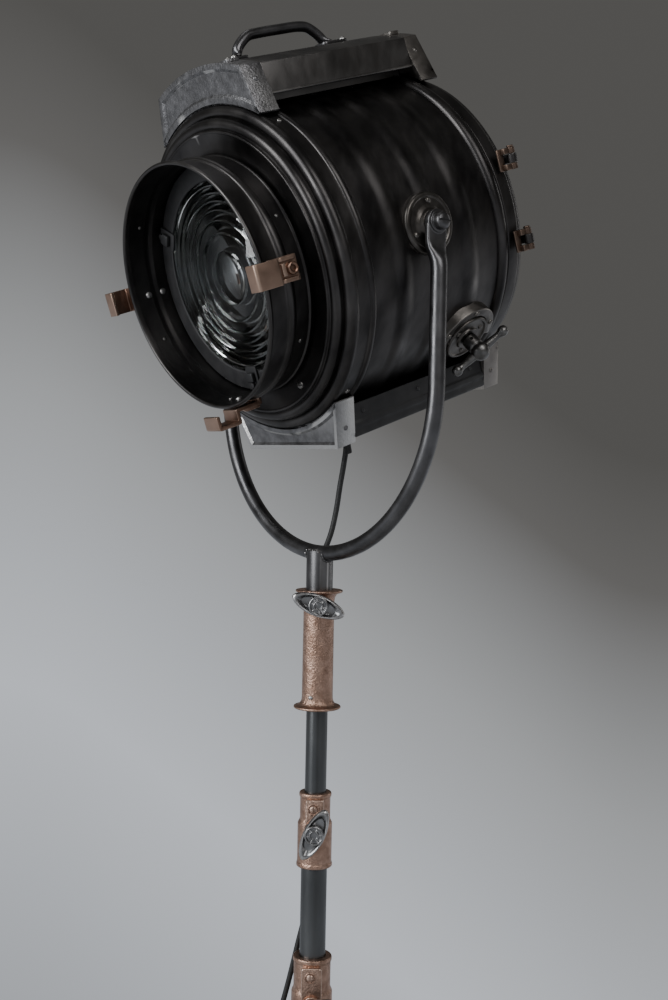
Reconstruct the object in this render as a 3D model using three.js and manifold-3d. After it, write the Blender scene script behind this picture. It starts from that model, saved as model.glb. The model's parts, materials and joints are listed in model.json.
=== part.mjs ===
// Follow spot: a Fresnel lens stage light in a yoke, on a telescoping stand with folding legs.
// Millimetres, +Z up. The lamp head looks toward -Y, and its lens side, +X, is called right.
// The origin is on the floor, in the middle of the footprint.
import * as THREE from 'three';
import { mergeVertices } from 'three/addons/utils/BufferGeometryUtils.js';
import Module from 'manifold-3d';

const wasm = await Module();
wasm.setup();

// ---------- driving dimensions ----------
const gap = 0.3; // left between pieces that touch
const degree = Math.PI / 180;
const round = 36; // facets round the drum

const standY = 118.53; // the mast stands behind the middle of the footprint
const pivotHeight = 1700; // tilt axis above the floor
const headTilt = 19.2 * degree; // front of the head hangs down
const pivotAboveAxis = 5.8; // tilt axis above the drum's own axis

// drum: y is along the drum axis, front at -y
const drumRadius = 160;
const sheet = 2;
const drumFront = -83;
const drumRear = 124.6;
const ribRadius = 162.5;
const ribPlaces = [-38.3, 7.1, 52.5];
const ribClear = 163.3; // radius that clears the ribs
const beadRadius = 165.5;
const rearBead = 97.9;
const coverFace = -121.7;
const coverRadius = 164.8;
const castFront = -108;
const castDepth = 24;
const castInner = 166.2;
const rearCastDepth = 22;
const ductTop = 203; // top of the vent cover above the drum axis
const ductHalf = 76;
const ductFloor = -183;
const handleRadius = 5.3;
const glandY = -38;

// lens tube and lens
const neckRadius = 119;
const rimRadius = 123.6;
const rimY = -176;
const lensRadius = 101.6;
const lensBack = -119;
const lensFront = -133;
const seatRadius = 97;

// colour frame clips
const clipWidth = 24.5;
const clipSheet = 4;
const clipLift = 125; // radius of the inner face of a clip's arm
const clipFront = -195.5;
const clipWall = -171; // the slot is between this wall and the front prong
const clipRear = -138;

// yoke
const armX = 179.4;
const yokeTube = 8.25;
const armDrop = 154.8; // straight part of an arm below the tilt axis
const yokeDrop = 328; // yoke's lowest centre below the tilt axis
const plateX = 170.6; // inner face of a flattened yoke end
const plateThick = 6;

// mast, heights given below the tilt axis
const stemRadius = 14.3;
const receiverTop = -367;
const receiverFoot = -494;
const topClampTop = -584;
const topClampFoot = -664;
const midClampTop = -761;
const midClampFoot = -851;
const topTube = 11.5;
const midTube = 14;
const columnTube = 17.5;
const topTubeFoot = 430; // these two are heights above the floor
const midTubeFoot = 300;
const knobTurn = 38 * degree; // the wing knobs face forward and right
const knobHeights = [-380, -620, -806];

// base
const legAngles = [-90, 30, 150];
const hubFoot = 128;
const hubTop = 214;
const legPinRadius = 50;
const legPinHeight = 170;
const legReach = 430;
const wheelRadius = 38;
const wheelWidth = 22;
const casterTrail = 20;

// focus drive
const focusAngle = 45 * degree; // below the horizontal, on the right
const focusY = 57;
const focusHub = 190; // radius at which the T-bar turns
const barLean = 38.6; // degrees the T-bar is turned from the drum's axis
const pinionRadius = 8;
const railX = 62;
const railZ = -112;

// lead
const leadRadius = 3;
const leadBehind = [27, 29.5, 27]; // lead's distance behind the mast's axis at its clips
const stemClip = -346;
const receiverClip = -480;
const clampClip = -640;
const coilOuter = 43.5;
const coilInner = 23.5;
const coilHeight = 18.8;
const coilPlace = [-316.4, -282.3];
const plugRadius = 19.5;
const plugAt = [-40.2, 69.3]; // the plug's face from the middle of the coil

// ---------- materials ----------
function paint(color, roughness, metalness) {
  return new THREE.MeshStandardMaterial({ color, roughness, metalness });
}
const gunmetal = paint(0x3b3a3d, 0.38, 0.9);
const darkCast = paint(0x77777a, 0.55, 0.85);
const bronze = paint(0xb98a6d, 0.45, 0.9);
const brightSteel = paint(0x8d8d90, 0.3, 0.95);
const knobSteel = paint(0x55555a, 0.3, 0.95);
const blackPaint = paint(0x1c1b1d, 0.6, 0.2);
const mirrorFinish = paint(0xd8d8d8, 0.05, 1);
const clearGlass = paint(0xdfe8ea, 0.05, 0);
const porcelain = paint(0xe7e2d6, 0.4, 0);
const blackRubber = paint(0x141414, 0.8, 0);

// ---------- solids from three.js geometry ----------
function bare(geometry) {
  const loose = geometry.index ? geometry.toNonIndexed() : geometry.clone();
  for (const name of Object.keys(loose.attributes)) {
    if (name !== 'position') loose.deleteAttribute(name);
  }
  const merged = mergeVertices(loose, 1e-3);
  const kept = [];
  const index = merged.index.array;
  for (let i = 0; i < index.length; i += 3) {
    const [a, b, c] = [index[i], index[i + 1], index[i + 2]];
    if (a !== b && b !== c && c !== a) kept.push(a, b, c);
  }
  merged.setIndex(kept);
  return merged;
}

function volumeOf(geometry) {
  const corner = [new THREE.Vector3(), new THREE.Vector3(), new THREE.Vector3()];
  const index = geometry.index.array;
  let volume = 0;
  for (let i = 0; i < index.length; i += 3) {
    corner.forEach((v, k) => v.fromBufferAttribute(geometry.attributes.position, index[i + k]));
    volume += corner[0].dot(corner[1].cross(corner[2])) / 6;
  }
  return volume;
}

function solid(geometry) {
  const clean = bare(geometry);
  const triangles = Uint32Array.from(clean.index.array);
  if (volumeOf(clean) < 0) triangles.reverse();
  const vertices = Float32Array.from(clean.attributes.position.array);
  return new wasm.Manifold(new wasm.Mesh({ numProp: 3, vertProperties: vertices, triVerts: triangles }));
}

function geometryOf(body) {
  const mesh = body.getMesh();
  const geometry = new THREE.BufferGeometry();
  geometry.setAttribute('position', new THREE.BufferAttribute(mesh.vertProperties, 3));
  geometry.setIndex(new THREE.BufferAttribute(mesh.triVerts, 1));
  return geometry;
}

function join(first, ...others) {
  return others.reduce((whole, other) => whole.add(other), first);
}

function cut(first, ...others) {
  return others.reduce((whole, other) => whole.subtract(other), first);
}

// A profile of [radius, height] points turned round the axis 'x', 'y' or 'z'.
function turned(profile, axis, facets = round) {
  const points = profile.map(([radius, height]) => new THREE.Vector2(radius, height));
  const last = points[points.length - 1];
  if (points[0].x > 0 || last.x > 0) points.push(points[0].clone());
  const geometry = new THREE.LatheGeometry(points, facets);
  if (axis === 'z') geometry.rotateX(Math.PI / 2);
  if (axis === 'x') geometry.rotateZ(-Math.PI / 2);
  return solid(geometry);
}

function ring(outer, inner, from, to, axis, facets = round) {
  return turned([[outer, from], [outer, to], [inner, to], [inner, from]], axis, facets);
}

function disc(radius, from, to, axis, facets = round) {
  return turned([[0, from], [radius, from], [radius, to], [0, to]], axis, facets);
}

function moved(body, x, y, z) {
  return body.translate([x, y, z]);
}

function block(x0, x1, y0, y1, z0, z1) {
  const geometry = new THREE.BoxGeometry(x1 - x0, y1 - y0, z1 - z0);
  geometry.translate((x0 + x1) / 2, (y0 + y1) / 2, (z0 + z1) / 2);
  return solid(geometry);
}

// A flat outline drawn in x and z, given its thickness from y0 to y1.
function slab(outline, y0, y1) {
  const shape = new THREE.Shape(outline.map(([x, z]) => new THREE.Vector2(x, z)));
  const geometry = new THREE.ExtrudeGeometry(shape, { depth: y1 - y0, bevelEnabled: false });
  geometry.rotateX(Math.PI / 2);
  geometry.translate(0, y1, 0);
  return solid(geometry);
}

function arcPoints(radius, from, to, steps) {
  const points = [];
  for (let i = 0; i <= steps; i += 1) {
    const angle = from + ((to - from) * i) / steps;
    points.push([radius * Math.cos(angle), radius * Math.sin(angle)]);
  }
  return points;
}

function tubeAlong(curve, radius, sides, steps) {
  const section = new THREE.Shape(arcPoints(radius, 0, 2 * Math.PI * (1 - 1 / sides), sides - 1)
    .map(([x, y]) => new THREE.Vector2(x, y)));
  return solid(new THREE.ExtrudeGeometry(section, { steps, extrudePath: curve, bevelEnabled: false }));
}

function smooth(points) {
  return new THREE.CatmullRomCurve3(points.map((p) => new THREE.Vector3(...p)), false, 'centripetal');
}

function piece(name, body, material, parent) {
  const mesh = new THREE.Mesh(geometryOf(body), material);
  mesh.name = name;
  parent.add(mesh);
  return mesh;
}

// ---------- head ----------
const spot = new THREE.Group();
const mast = new THREE.Group();
mast.position.set(0, standY, pivotHeight);
spot.add(mast);

const head = new THREE.Group();
head.rotation.x = headTilt;
mast.add(head);

const drum = new THREE.Group();
drum.position.z = -pivotAboveAxis;
head.add(drum);

// everything of the focus drive lies along this group's x, which is radial to the drum
const focus = new THREE.Group();
focus.rotation.y = focusAngle;
focus.position.y = focusY;
drum.add(focus);

function aboutFocus(body) {
  return moved(body.rotate([0, focusAngle / degree, 0]), 0, focusY, 0);
}

function drumPieces() {
  const outline = [[drumRadius, drumFront]];
  for (const y of ribPlaces) {
    outline.push([drumRadius, y - 9], [ribRadius, y], [drumRadius, y + 9]);
  }
  outline.push([drumRadius, rearBead - 6], [beadRadius, rearBead]);
  outline.push([drumRadius, rearBead + 6], [drumRadius - 1, drumRear]);
  outline.push([drumRadius - 1 - sheet, drumRear]);
  outline.push([drumRadius - sheet, drumFront]);
  const shaftHole = aboutFocus(disc(7, 140, 175, 'x', 12));
  const slots = [];
  for (const y of [-45, 5, 55]) {
    slots.push(block(-50, 50, y - 12, y + 12, 140, 170));
    slots.push(block(-50, 50, y - 12, y + 12, -170, -140));
  }
  piece('barrel_shell', cut(turned(outline, 'y'), shaftHole, ...slots), gunmetal, drum);

  const cover = turned([
    [neckRadius + gap, -120.4], [143.1, coverFace], [154, -114], [coverRadius, -105],
    [163.2, -89], [beadRadius, -83.7], [163.2, -79.5], [drumRadius + gap, -79.5],
    [drumRadius + gap, -101], [143, -118.8], [neckRadius + gap, -117.6],
  ], 'y');
  piece('front_cover', cover, gunmetal, drum);

  const tube = turned([
    [neckRadius, -113], [neckRadius + 0.6, -143], [rimRadius - 1.4, -147], [neckRadius + 1.4, -151],
    [rimRadius - 1, rimY + 5], [rimRadius, rimY], [rimRadius - 4, rimY], [neckRadius - 2, -124],
    [neckRadius - 2, -117.5], [seatRadius, -117.5], [seatRadius, -113],
  ], 'y');
  piece('lens_tube', tube, gunmetal, drum);
}

function lensPieces() {
  // stepped front: each zone is a sloping face and a short riser back
  const zones = 4;
  const bullseye = 34;
  const outline = [[0, lensBack], [lensRadius, lensBack], [lensRadius, lensBack - 7]];
  const width = (lensRadius - 5 - bullseye) / zones;
  outline.push([lensRadius - 5, lensBack - 7]);
  for (let i = zones; i > 0; i -= 1) {
    const inner = bullseye + (i - 1) * width;
    outline.push([inner + 0.6, lensBack - 12], [inner, lensBack - 7]);
  }
  outline.push([bullseye * 0.7, lensFront + 4], [bullseye * 0.35, lensFront + 1], [0, lensFront]);
  piece('fresnel_lens', turned(outline, 'y'), clearGlass, drum);
  const retainer = ring(neckRadius - 3.2, seatRadius, -129.5, -131.2, 'y');
  const tabs = [-90, 30, 150].map((angle) => (
    block(seatRadius - 5, neckRadius - 5, -9, 9, -2.6, 0).rotate([90, 0, 0]).rotate([0, -angle, 0])
  ));
  const placed = tabs.map((tab) => moved(tab, 0, -131, 0));
  piece('lens_retainer', join(retainer, ...placed), blackPaint, drum);
}

// A casting that closes one end of the duct above or below the drum.
function sectorCasting(topHalf, topZ, lowHalf, lowZ, depth, y0, arched) {
  const start = Math.atan2(lowZ, lowHalf);
  const inner = arcPoints(castInner, Math.PI - start, start, 14);
  const crown = arched
    ? arcPoints(Math.hypot(topHalf, topZ), Math.atan2(topZ, topHalf), Math.PI - Math.atan2(topZ, topHalf), 8)
    : [[topHalf, topZ], [-topHalf, topZ]];
  return slab([[lowHalf + 1, lowZ + 1], ...crown, [-lowHalf - 1, lowZ + 1], ...inner], y0, y0 + depth);
}

function ductPieces() {
  const upside = (body) => body.rotate([0, 180, 0]);
  const frontTop = sectorCasting(75, 189, 87, 142, castDepth, castFront, true);
  const rearTop = sectorCasting(70, 190, 87, 142, rearCastDepth, rearBead + 6.5, true);
  const frontBottom = upside(sectorCasting(77, 187.3, 91, 139, castDepth, castFront, false));
  const rearBottom = upside(sectorCasting(77, 187.3, 91, 139, rearCastDepth, rearBead + 6.5, false));
  piece('front_top_casting', frontTop, darkCast, drum);
  piece('rear_top_casting', rearTop, darkCast, drum);
  piece('front_bottom_casting', frontBottom, darkCast, drum);
  piece('rear_bottom_casting', rearBottom, darkCast, drum);

  const y0 = castFront + castDepth + gap;
  const y1 = rearBead + 6.5 - gap;
  const angle = Math.acos(ductHalf / ductTop);
  const outer = arcPoints(ductTop, angle, Math.PI - angle, 10);
  const inside = arcPoints(ductTop - sheet, Math.PI - angle - 0.012, angle + 0.012, 10);
  const roof = [[ductHalf + 2, 159], ...outer, [-ductHalf - 2, 159], [-ductHalf, 159], ...inside];
  const baffles = [-1, 1].map((side) => block(side * 56 - 1, side * 56 + 1, y0, y1, 156.8, 194.2));
  const cover = join(slab([...roof, [ductHalf, 159]], y0, y1), ...baffles);
  piece('vent_cover', cover, gunmetal, drum);

  const side = ductHalf + 4;
  const trough = cut(
    block(-side, side, y0, y1, ductFloor, -150),
    block(-side + sheet, side - sheet, y0 - 1, y1 + 1, ductFloor + sheet, -140),
    disc(5.6, ductFloor - 5, ductFloor + 5, 'z', 12).translate([0, glandY, 0]),
  );
  const lowBaffles = [-1, 1].map((x) => block(x * 56 - 1, x * 56 + 1, y0, y1, ductFloor + 1, -156.8));
  const channel = join(trough, ...lowBaffles);
  piece('wiring_channel', channel, blackPaint, drum);
  const gland = join(
    ring(8.5, leadRadius + 1.2, ductFloor - 9, ductFloor - gap, 'z', 12),
    ring(5.3, leadRadius + 1.2, ductFloor - 2, ductFloor + 6, 'z', 12),
  );
  piece('lead_gland', moved(gland, 0, glandY, 0), brightSteel, drum);

  const low = ductTop + 3.5;
  const high = 226.7;
  const rail = smooth([[0, -52, low], [0, -50, low + 8], [0, -42, high - 7], [0, -33, high - 1],
    [0, -20, high], [0, 32, high], [0, 43, high - 2], [0, 52, high - 9], [0, 58, low + 7], [0, 62, low]]);
  const foot = (y0f, y1f) => block(-10, 10, y0f, y1f, ductTop + gap, ductTop + 4);
  const handle = join(tubeAlong(rail, handleRadius, 8, 20), foot(-66, -42), foot(54, 89));
  piece('carry_handle', handle, brightSteel, drum);
}

function pivotPieces() {
  const drumClear = disc(ribClear, -60, 60, 'y');
  const z = pivotAboveAxis;
  const boss = turned([[0, 150], [30.5, 150], [30.5, 164.2], [28.5, 165.6], [18, 166.2],
    [13, 169.8], [0, 169.8]], 'x', 24);
  const right = cut(moved(boss, 0, 0, z), drumClear, disc(6, 140, 175, 'x', 16).translate([0, 0, z]));
  piece('pivot_boss_right', right, darkCast, drum);
  const stud = disc(4.6, 167, plateX + 21, 'x', 16).translate([0, 0, z]);
  const leftBoss = join(cut(moved(boss, 0, 0, z), drumClear), stud);
  piece('pivot_boss_left', leftBoss.rotate([0, 0, 180]), darkCast, drum);
}

function frameClips() {
  // outline in x = distance from the drum axis, z = along the axis, front negative
  const lip = clipLift + 1.5;
  const floor = clipLift + 12.5;
  const strap = [
    [120.5, clipRear - 4.5], [120.5, clipRear], [clipLift + clipSheet, clipRear],
    [clipLift + clipSheet, clipWall + clipSheet], [floor + clipSheet, clipWall + clipSheet],
    [floor + clipSheet, clipFront], [lip, clipFront], [lip, clipFront + clipSheet],
    [floor, clipFront + clipSheet], [floor, clipWall], [clipLift, clipWall],
    [clipLift, clipRear - 4.5],
  ];
  const flat = slab(strap, -clipWidth / 2, clipWidth / 2).rotate([-90, 0, 0]);
  const rivet = disc(5, clipLift + clipSheet - 1, clipLift + clipSheet + 3, 'x', 12)
    .translate([0, clipRear - 7, 0]);
  const clip = join(flat, rivet);
  for (const [side, angle] of [['right', 0], ['bottom', 90], ['left', 180]]) {
    piece(`frame_clip_${side}`, clip.rotate([0, angle, 0]), bronze, drum);
  }
}


// ---------- focus drive and lamp ----------
function focusPieces() {
  const drumClear = disc(ribClear, -60, 60, 'y');
  const plate = cut(disc(26.5, 145, 170, 'x', 24), disc(7.2, 140, 175, 'x', 16), drumClear);
  piece('focus_boss', plate, darkCast, focus);
  const hood = cut(ring(37, 26.9, 145, 168, 'x', 24), drumClear, block(140, 175, -40, 40, -40, -6));
  piece('focus_hood', hood, darkCast, focus);

  const shaft = turned([[0, 128], [4.5, 128], [4.5, 172], [8.5, 172], [8.5, focusHub - 4],
    [10.5, focusHub + 1], [8, focusHub + 8], [0, focusHub + 10]], 'x', 12);
  const pinion = disc(pinionRadius - gap, 131, 141, 'x', 16);
  const arm = turned([[0, 0], [4.6, 0], [3.4, 25], [5.8, 30.5], [4.6, 34.5], [0, 36.5]], 'y', 8);
  const bar = join(arm, arm.rotate([180, 0, 0])).rotate([barLean, 0, 0]);
  piece('focus_handle', join(shaft, pinion, moved(bar, focusHub, 0, 0)), knobSteel, focus);

  // two rails held across the drum by a bracket at each end
  const rails = [railX, -railX].map((x) => disc(4, -72, 112, 'y', 12).translate([x, 0, railZ]));
  const brackets = [-62, 102].map((y) => block(-100, 100, y - 3, y + 3, railZ - 9, railZ + 9));
  piece('guide_frame', join(...brackets, ...rails), blackPaint, drum);

  // the sliding carriage: plate, two bearing blocks on the rails, rack arm and reflector post
  const lampY = 12;
  const bearing = (x) => cut(
    block(x - 9, x + 9, -20, 50, railZ - 9, -96),
    disc(4 + gap, -30, 60, 'y', 12).translate([x, 0, railZ]),
  );
  const deck = block(-72, 72, -20, 50, -99, -94);
  const post = block(-9, 9, 44, 49.5, -95, -62);
  const rack = aboutFocus(block(132, 140, -40, 40, pinionRadius + gap, pinionRadius + 6));
  const rackArm = aboutFocus(block(104, 140, -36, -24, pinionRadius + gap, pinionRadius + 6));
  const reach = block(62, 84, lampY + 7, lampY + 19, -99, -58);
  const bearings = join(bearing(-railX), bearing(railX));
  piece('lamp_carriage', join(deck, bearings, post, reach, rackArm, rack), blackPaint, drum);

  const cup = [];
  for (let i = 0; i <= 5; i += 1) {
    const t = (i * 58 * degree) / 5;
    cup.push([68 * Math.sin(t), lampY + 68 * Math.cos(t)]);
  }
  for (let i = 5; i >= 0; i -= 1) {
    const t = (i * 58 * degree) / 5;
    cup.push([66 * Math.sin(t), lampY + 66 * Math.cos(t)]);
  }
  piece('reflector', turned(cup, 'y', 24), mirrorFinish, drum);
  const socket = turned([[0, -93.7], [24, -93.7], [24, -78], [19, -74], [19, -56], [0, -56]], 'z', 24);
  piece('lamp_socket', moved(socket, 0, lampY, 0), porcelain, drum);
  const bulb = turned([[0, -55.7], [13, -55.7], [13, -38], [18, -28], [28, -16], [31, 0], [28, 14],
    [17, 26], [0, 31]], 'z', 24);
  piece('lamp_bulb', moved(bulb, 0, lampY, 0), clearGlass, drum);
}

const hinge = { x: 166, y: 127.6, low: -37, high: 45 };

function doorPieces() {
  const y = drumRear + gap;
  const panel = turned([[0, y + 7], [60, y + 7], [66, y + 5], [146, y + 5], [156, y + 6],
    [158.5, y], [148, y], [144, y + 3], [0, y + 3]], 'y');
  const louvres = [-1, 1].flatMap((side) => [40, 64, 88].map((z) => (
    block(-38, 38, y - 2, y + 12, side * z - 3, side * z + 3)
  )));
  const knuckle = (z, h) => join(
    ring(5, 2 + gap, z - h / 2, z + h / 2, 'z', 12).translate([hinge.x, hinge.y, 0]),
    cut(block(150, hinge.x, y + 2, hinge.y + 5, z - h / 2, z + h / 2), disc(2.6, z - h, z + h, 'z', 12)
      .translate([hinge.x, hinge.y, 0])),
  );
  const leaves = [hinge.low, hinge.high].map((z) => knuckle(z, 9));
  piece('rear_door', join(cut(panel, ...louvres), ...leaves), gunmetal, drum);
  for (const [name, z] of [['lower', hinge.low], ['upper', hinge.high]]) {
    const bracket = [z - 8, z + 8].map((c) => join(
      ring(5, 1.5, c - 3, c + 3, 'z', 12).translate([hinge.x, hinge.y, 0]),
      cut(block(161, hinge.x + 2, 116, hinge.y, c - 3, c + 3), disc(2.6, c - 5, c + 5, 'z', 12)
        .translate([hinge.x, hinge.y, 0])),
    ));
    const base = block(161, 163, 112, 120, z - 11, z + 11);
    const pin = join(disc(2, z - 11, z + 12, 'z', 12), disc(3.6, z + 11, z + 13.5, 'z', 12));
    const pinPlaced = moved(pin, hinge.x, hinge.y, 0);
    piece(`door_hinge_${name}`, join(base, ...bracket, pinPlaced), bronze, drum);
  }
  // the turn button on the far side that holds the door shut
  const button = join(
    disc(9, 0, 5, 'y', 16),
    block(-26, 0, 0.4, 4, -5, 5),
    block(0, 10, 5, 16, -2, 2),
    disc(5, 4, 6, 'y', 16),
  );
  const arm = block(-171, -160.9, 98 + 7, 122, -7, 7);
  const keeper = join(arm, block(-171, -161.5, 121, y + 3, -4, 4));
  piece('door_keeper', keeper, bronze, drum);
  piece('door_latch', moved(button, -146, y + 7, 0), knobSteel, drum);
}

// ---------- yoke ----------
function yokePieces() {
  class Bow extends THREE.Curve {
    getPoint(t, target = new THREE.Vector3()) {
      const straight = 5 / 32;
      const z = -34;
      if (t < straight) return target.set(armX, 0, z + ((-armDrop - z) * t) / straight);
      if (t > 1 - straight) return target.set(-armX, 0, z + ((-armDrop - z) * (1 - t)) / straight);
      const angle = (Math.PI * (t - straight)) / (1 - 2 * straight);
      const drop = yokeDrop - armDrop;
      return target.set(armX * Math.cos(angle), 0, -armDrop - drop * Math.sin(angle));
    }
  }
  const bow = tubeAlong(new Bow(), yokeTube, 10, 32);
  const end = cut(
    join(block(plateX, plateX + plateThick, -12, 12, -30, 0),
      disc(12, plateX, plateX + plateThick, 'x', 24)),
    disc(5.3, plateX - 5, plateX + 20, 'x', 16),
  );
  const shoulder = slab([[plateX, -22], [plateX + plateThick, -22], [armX + 7.4, -38],
    [armX + 7.4, -46], [armX - 7.4, -46], [armX - 7.4, -38]], -7.4, 7.4);
  const right = join(end, shoulder);
  piece('yoke_bow', join(bow, right, right.rotate([0, 0, 180])), gunmetal, mast);

  const stem = cut(
    disc(stemRadius, -456, -yokeDrop + 3, 'z', 24),
    ring(stemRadius + 3, stemRadius - 3, -yokeDrop - 2, -yokeDrop + 6, 'z', 24).intersect(
      block(-30, 30, -yokeTube - 1, yokeTube + 1, -340, -300)),
    disc(yokeTube + gap + 0.2, -40, 40, 'x', 16).translate([0, 0, -yokeDrop]),
  );
  const reach = leadBehind[0];
  const clip = join(
    block(-reach - 1, -12, -4, 4, stemClip - 5, stemClip + 5),
    disc(leadRadius + 3, stemClip - 5, stemClip + 5, 'z', 12).translate([-reach, 0, 0]),
  );
  const leadHole = disc(leadRadius + 1.3, stemClip - 9, stemClip + 9, 'z', 12).translate([-reach, 0, 0]);
  piece('yoke_stem', cut(join(stem, facing(clip)), facing(leadHole)), brightSteel, mast);

  // the right pivot is a plain bolt, the left one carries the tilt clamp
  const boltFrom = 164;
  const bolt = turned([[0, boltFrom], [4.6, boltFrom], [4.6, plateX + plateThick + gap],
    [9.5, plateX + plateThick + gap], [9.5, plateX + 12], [7.5, plateX + 14.6], [0, plateX + 15.6]], 'x', 20);
  piece('pivot_bolt_right', bolt, brightSteel, mast);
  const clampHub = ring(9.5, 5, plateX + plateThick + gap, plateX + 24, 'x', 20);
  const clampArm = turned([[0, 8], [4.5, 8], [3.4, 44], [5.6, 50], [5.6, 55], [3, 58], [0, 58]], 'z', 12);
  const lever = join(clampHub, moved(clampArm, plateX + 17, 0, 0));
  piece('tilt_clamp_lever', lever.rotate([0, 0, 180]), knobSteel, mast);
}

// ---------- stand ----------
// radial frame of the wing knobs: x points out through a knob
function facing(body) {
  return body.rotate([0, 0, -knobTurn / degree]);
}

function wingKnob(name, reach, z, lean) {
  const wing = turned([[0, -3], [29, -2.4], [29, 2.4], [0, 4]], 'x', 20);
  const eye = wing.scale([1, 1, 0.4]);
  const badge = disc(10.5, -4, 6, 'x', 12);
  const shank = disc(5, -15, 0, 'x', 8);
  const knob = join(eye, badge, shank).rotate([lean, 0, 0]);
  piece(name, facing(moved(knob, reach + 15, 0, z)), knobSteel, mast);
}

function sleeve(profile, z, bossReach, bossZ, leadBehind, holes) {
  const shell = turned(profile, 'z', 20);
  const boss = disc(11, 5, bossReach - gap, 'x', 16).translate([0, 0, bossZ]);
  const clip = join(
    block(-leadBehind - 1, -12, -4, 4, z - 5, z + 5),
    disc(leadRadius + 3, z - 5, z + 5, 'z', 12).translate([-leadBehind, 0, 0]),
  );
  const leadHole = disc(leadRadius + 1.3, z - 10, z + 10, 'z', 12).translate([-leadBehind, 0, 0]);
  return cut(join(shell, facing(join(boss, clip))), facing(leadHole), ...holes);
}

function standPieces() {
  const bore = (radius, from, to) => disc(radius + gap, from, to, 'z', 24);
  const receiver = sleeve([[0, receiverTop], [25.5, receiverTop], [25.5, receiverTop - 3],
    [16.6, receiverTop - 9], [16.6, receiverFoot + 9], [25.5, receiverFoot + 3], [25.5, receiverFoot],
    [0, receiverFoot]], receiverClip, 27,
  knobHeights[0], leadBehind[1], [
    bore(stemRadius, -458, receiverTop + 5),
    bore(topTube, receiverFoot - 5, -466),
  ]);
  piece('head_receiver', receiver, bronze, mast);

  const floorAt = -pivotHeight;
  const topRiser = ring(topTube, topTube - 2, floorAt + topTubeFoot, -466.5, 'z', 24);
  piece('top_riser', topRiser, brightSteel, mast);

  const topClamp = sleeve([[0, topClampTop], [16.5, topClampTop],
    [16.5, topClampTop - 30], [18.5, topClampTop - 34], [18.5, topClampFoot],
    [0, topClampFoot]], clampClip, 25, knobHeights[1], leadBehind[2], [
    bore(topTube, -620, topClampTop + 5),
    bore(midTube, topClampFoot - 5, -610),
  ]);
  piece('top_clamp', topClamp, bronze, mast);
  const midRiser = ring(midTube, topTube + 0.5, floorAt + midTubeFoot, -610.5, 'z', 24);
  piece('mid_riser', midRiser, brightSteel, mast);

  const midClamp = sleeve([[0, midClampTop], [20, midClampTop],
    [20, midClampTop - 34], [22, midClampTop - 38], [22, midClampFoot],
    [0, midClampFoot]], -900, 28, knobHeights[2], 12, [
    bore(midTube, -800, midClampTop + 5),
    bore(columnTube, midClampFoot - 5, -790),
    disc(40, -910, midClampFoot, 'z', 24),
  ]);
  piece('mid_clamp', midClamp, bronze, mast);
  const column = ring(columnTube, midTube + 0.6, floorAt + hubFoot + 6.5, -790.5, 'z', 24);
  piece('base_column', column, brightSteel, mast);

  wingKnob('receiver_wing_knob', 27, knobHeights[0], -20);
  wingKnob('top_wing_knob', 25, knobHeights[1], 65);
  wingKnob('mid_wing_knob', 28, knobHeights[2], 20);
}

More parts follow.
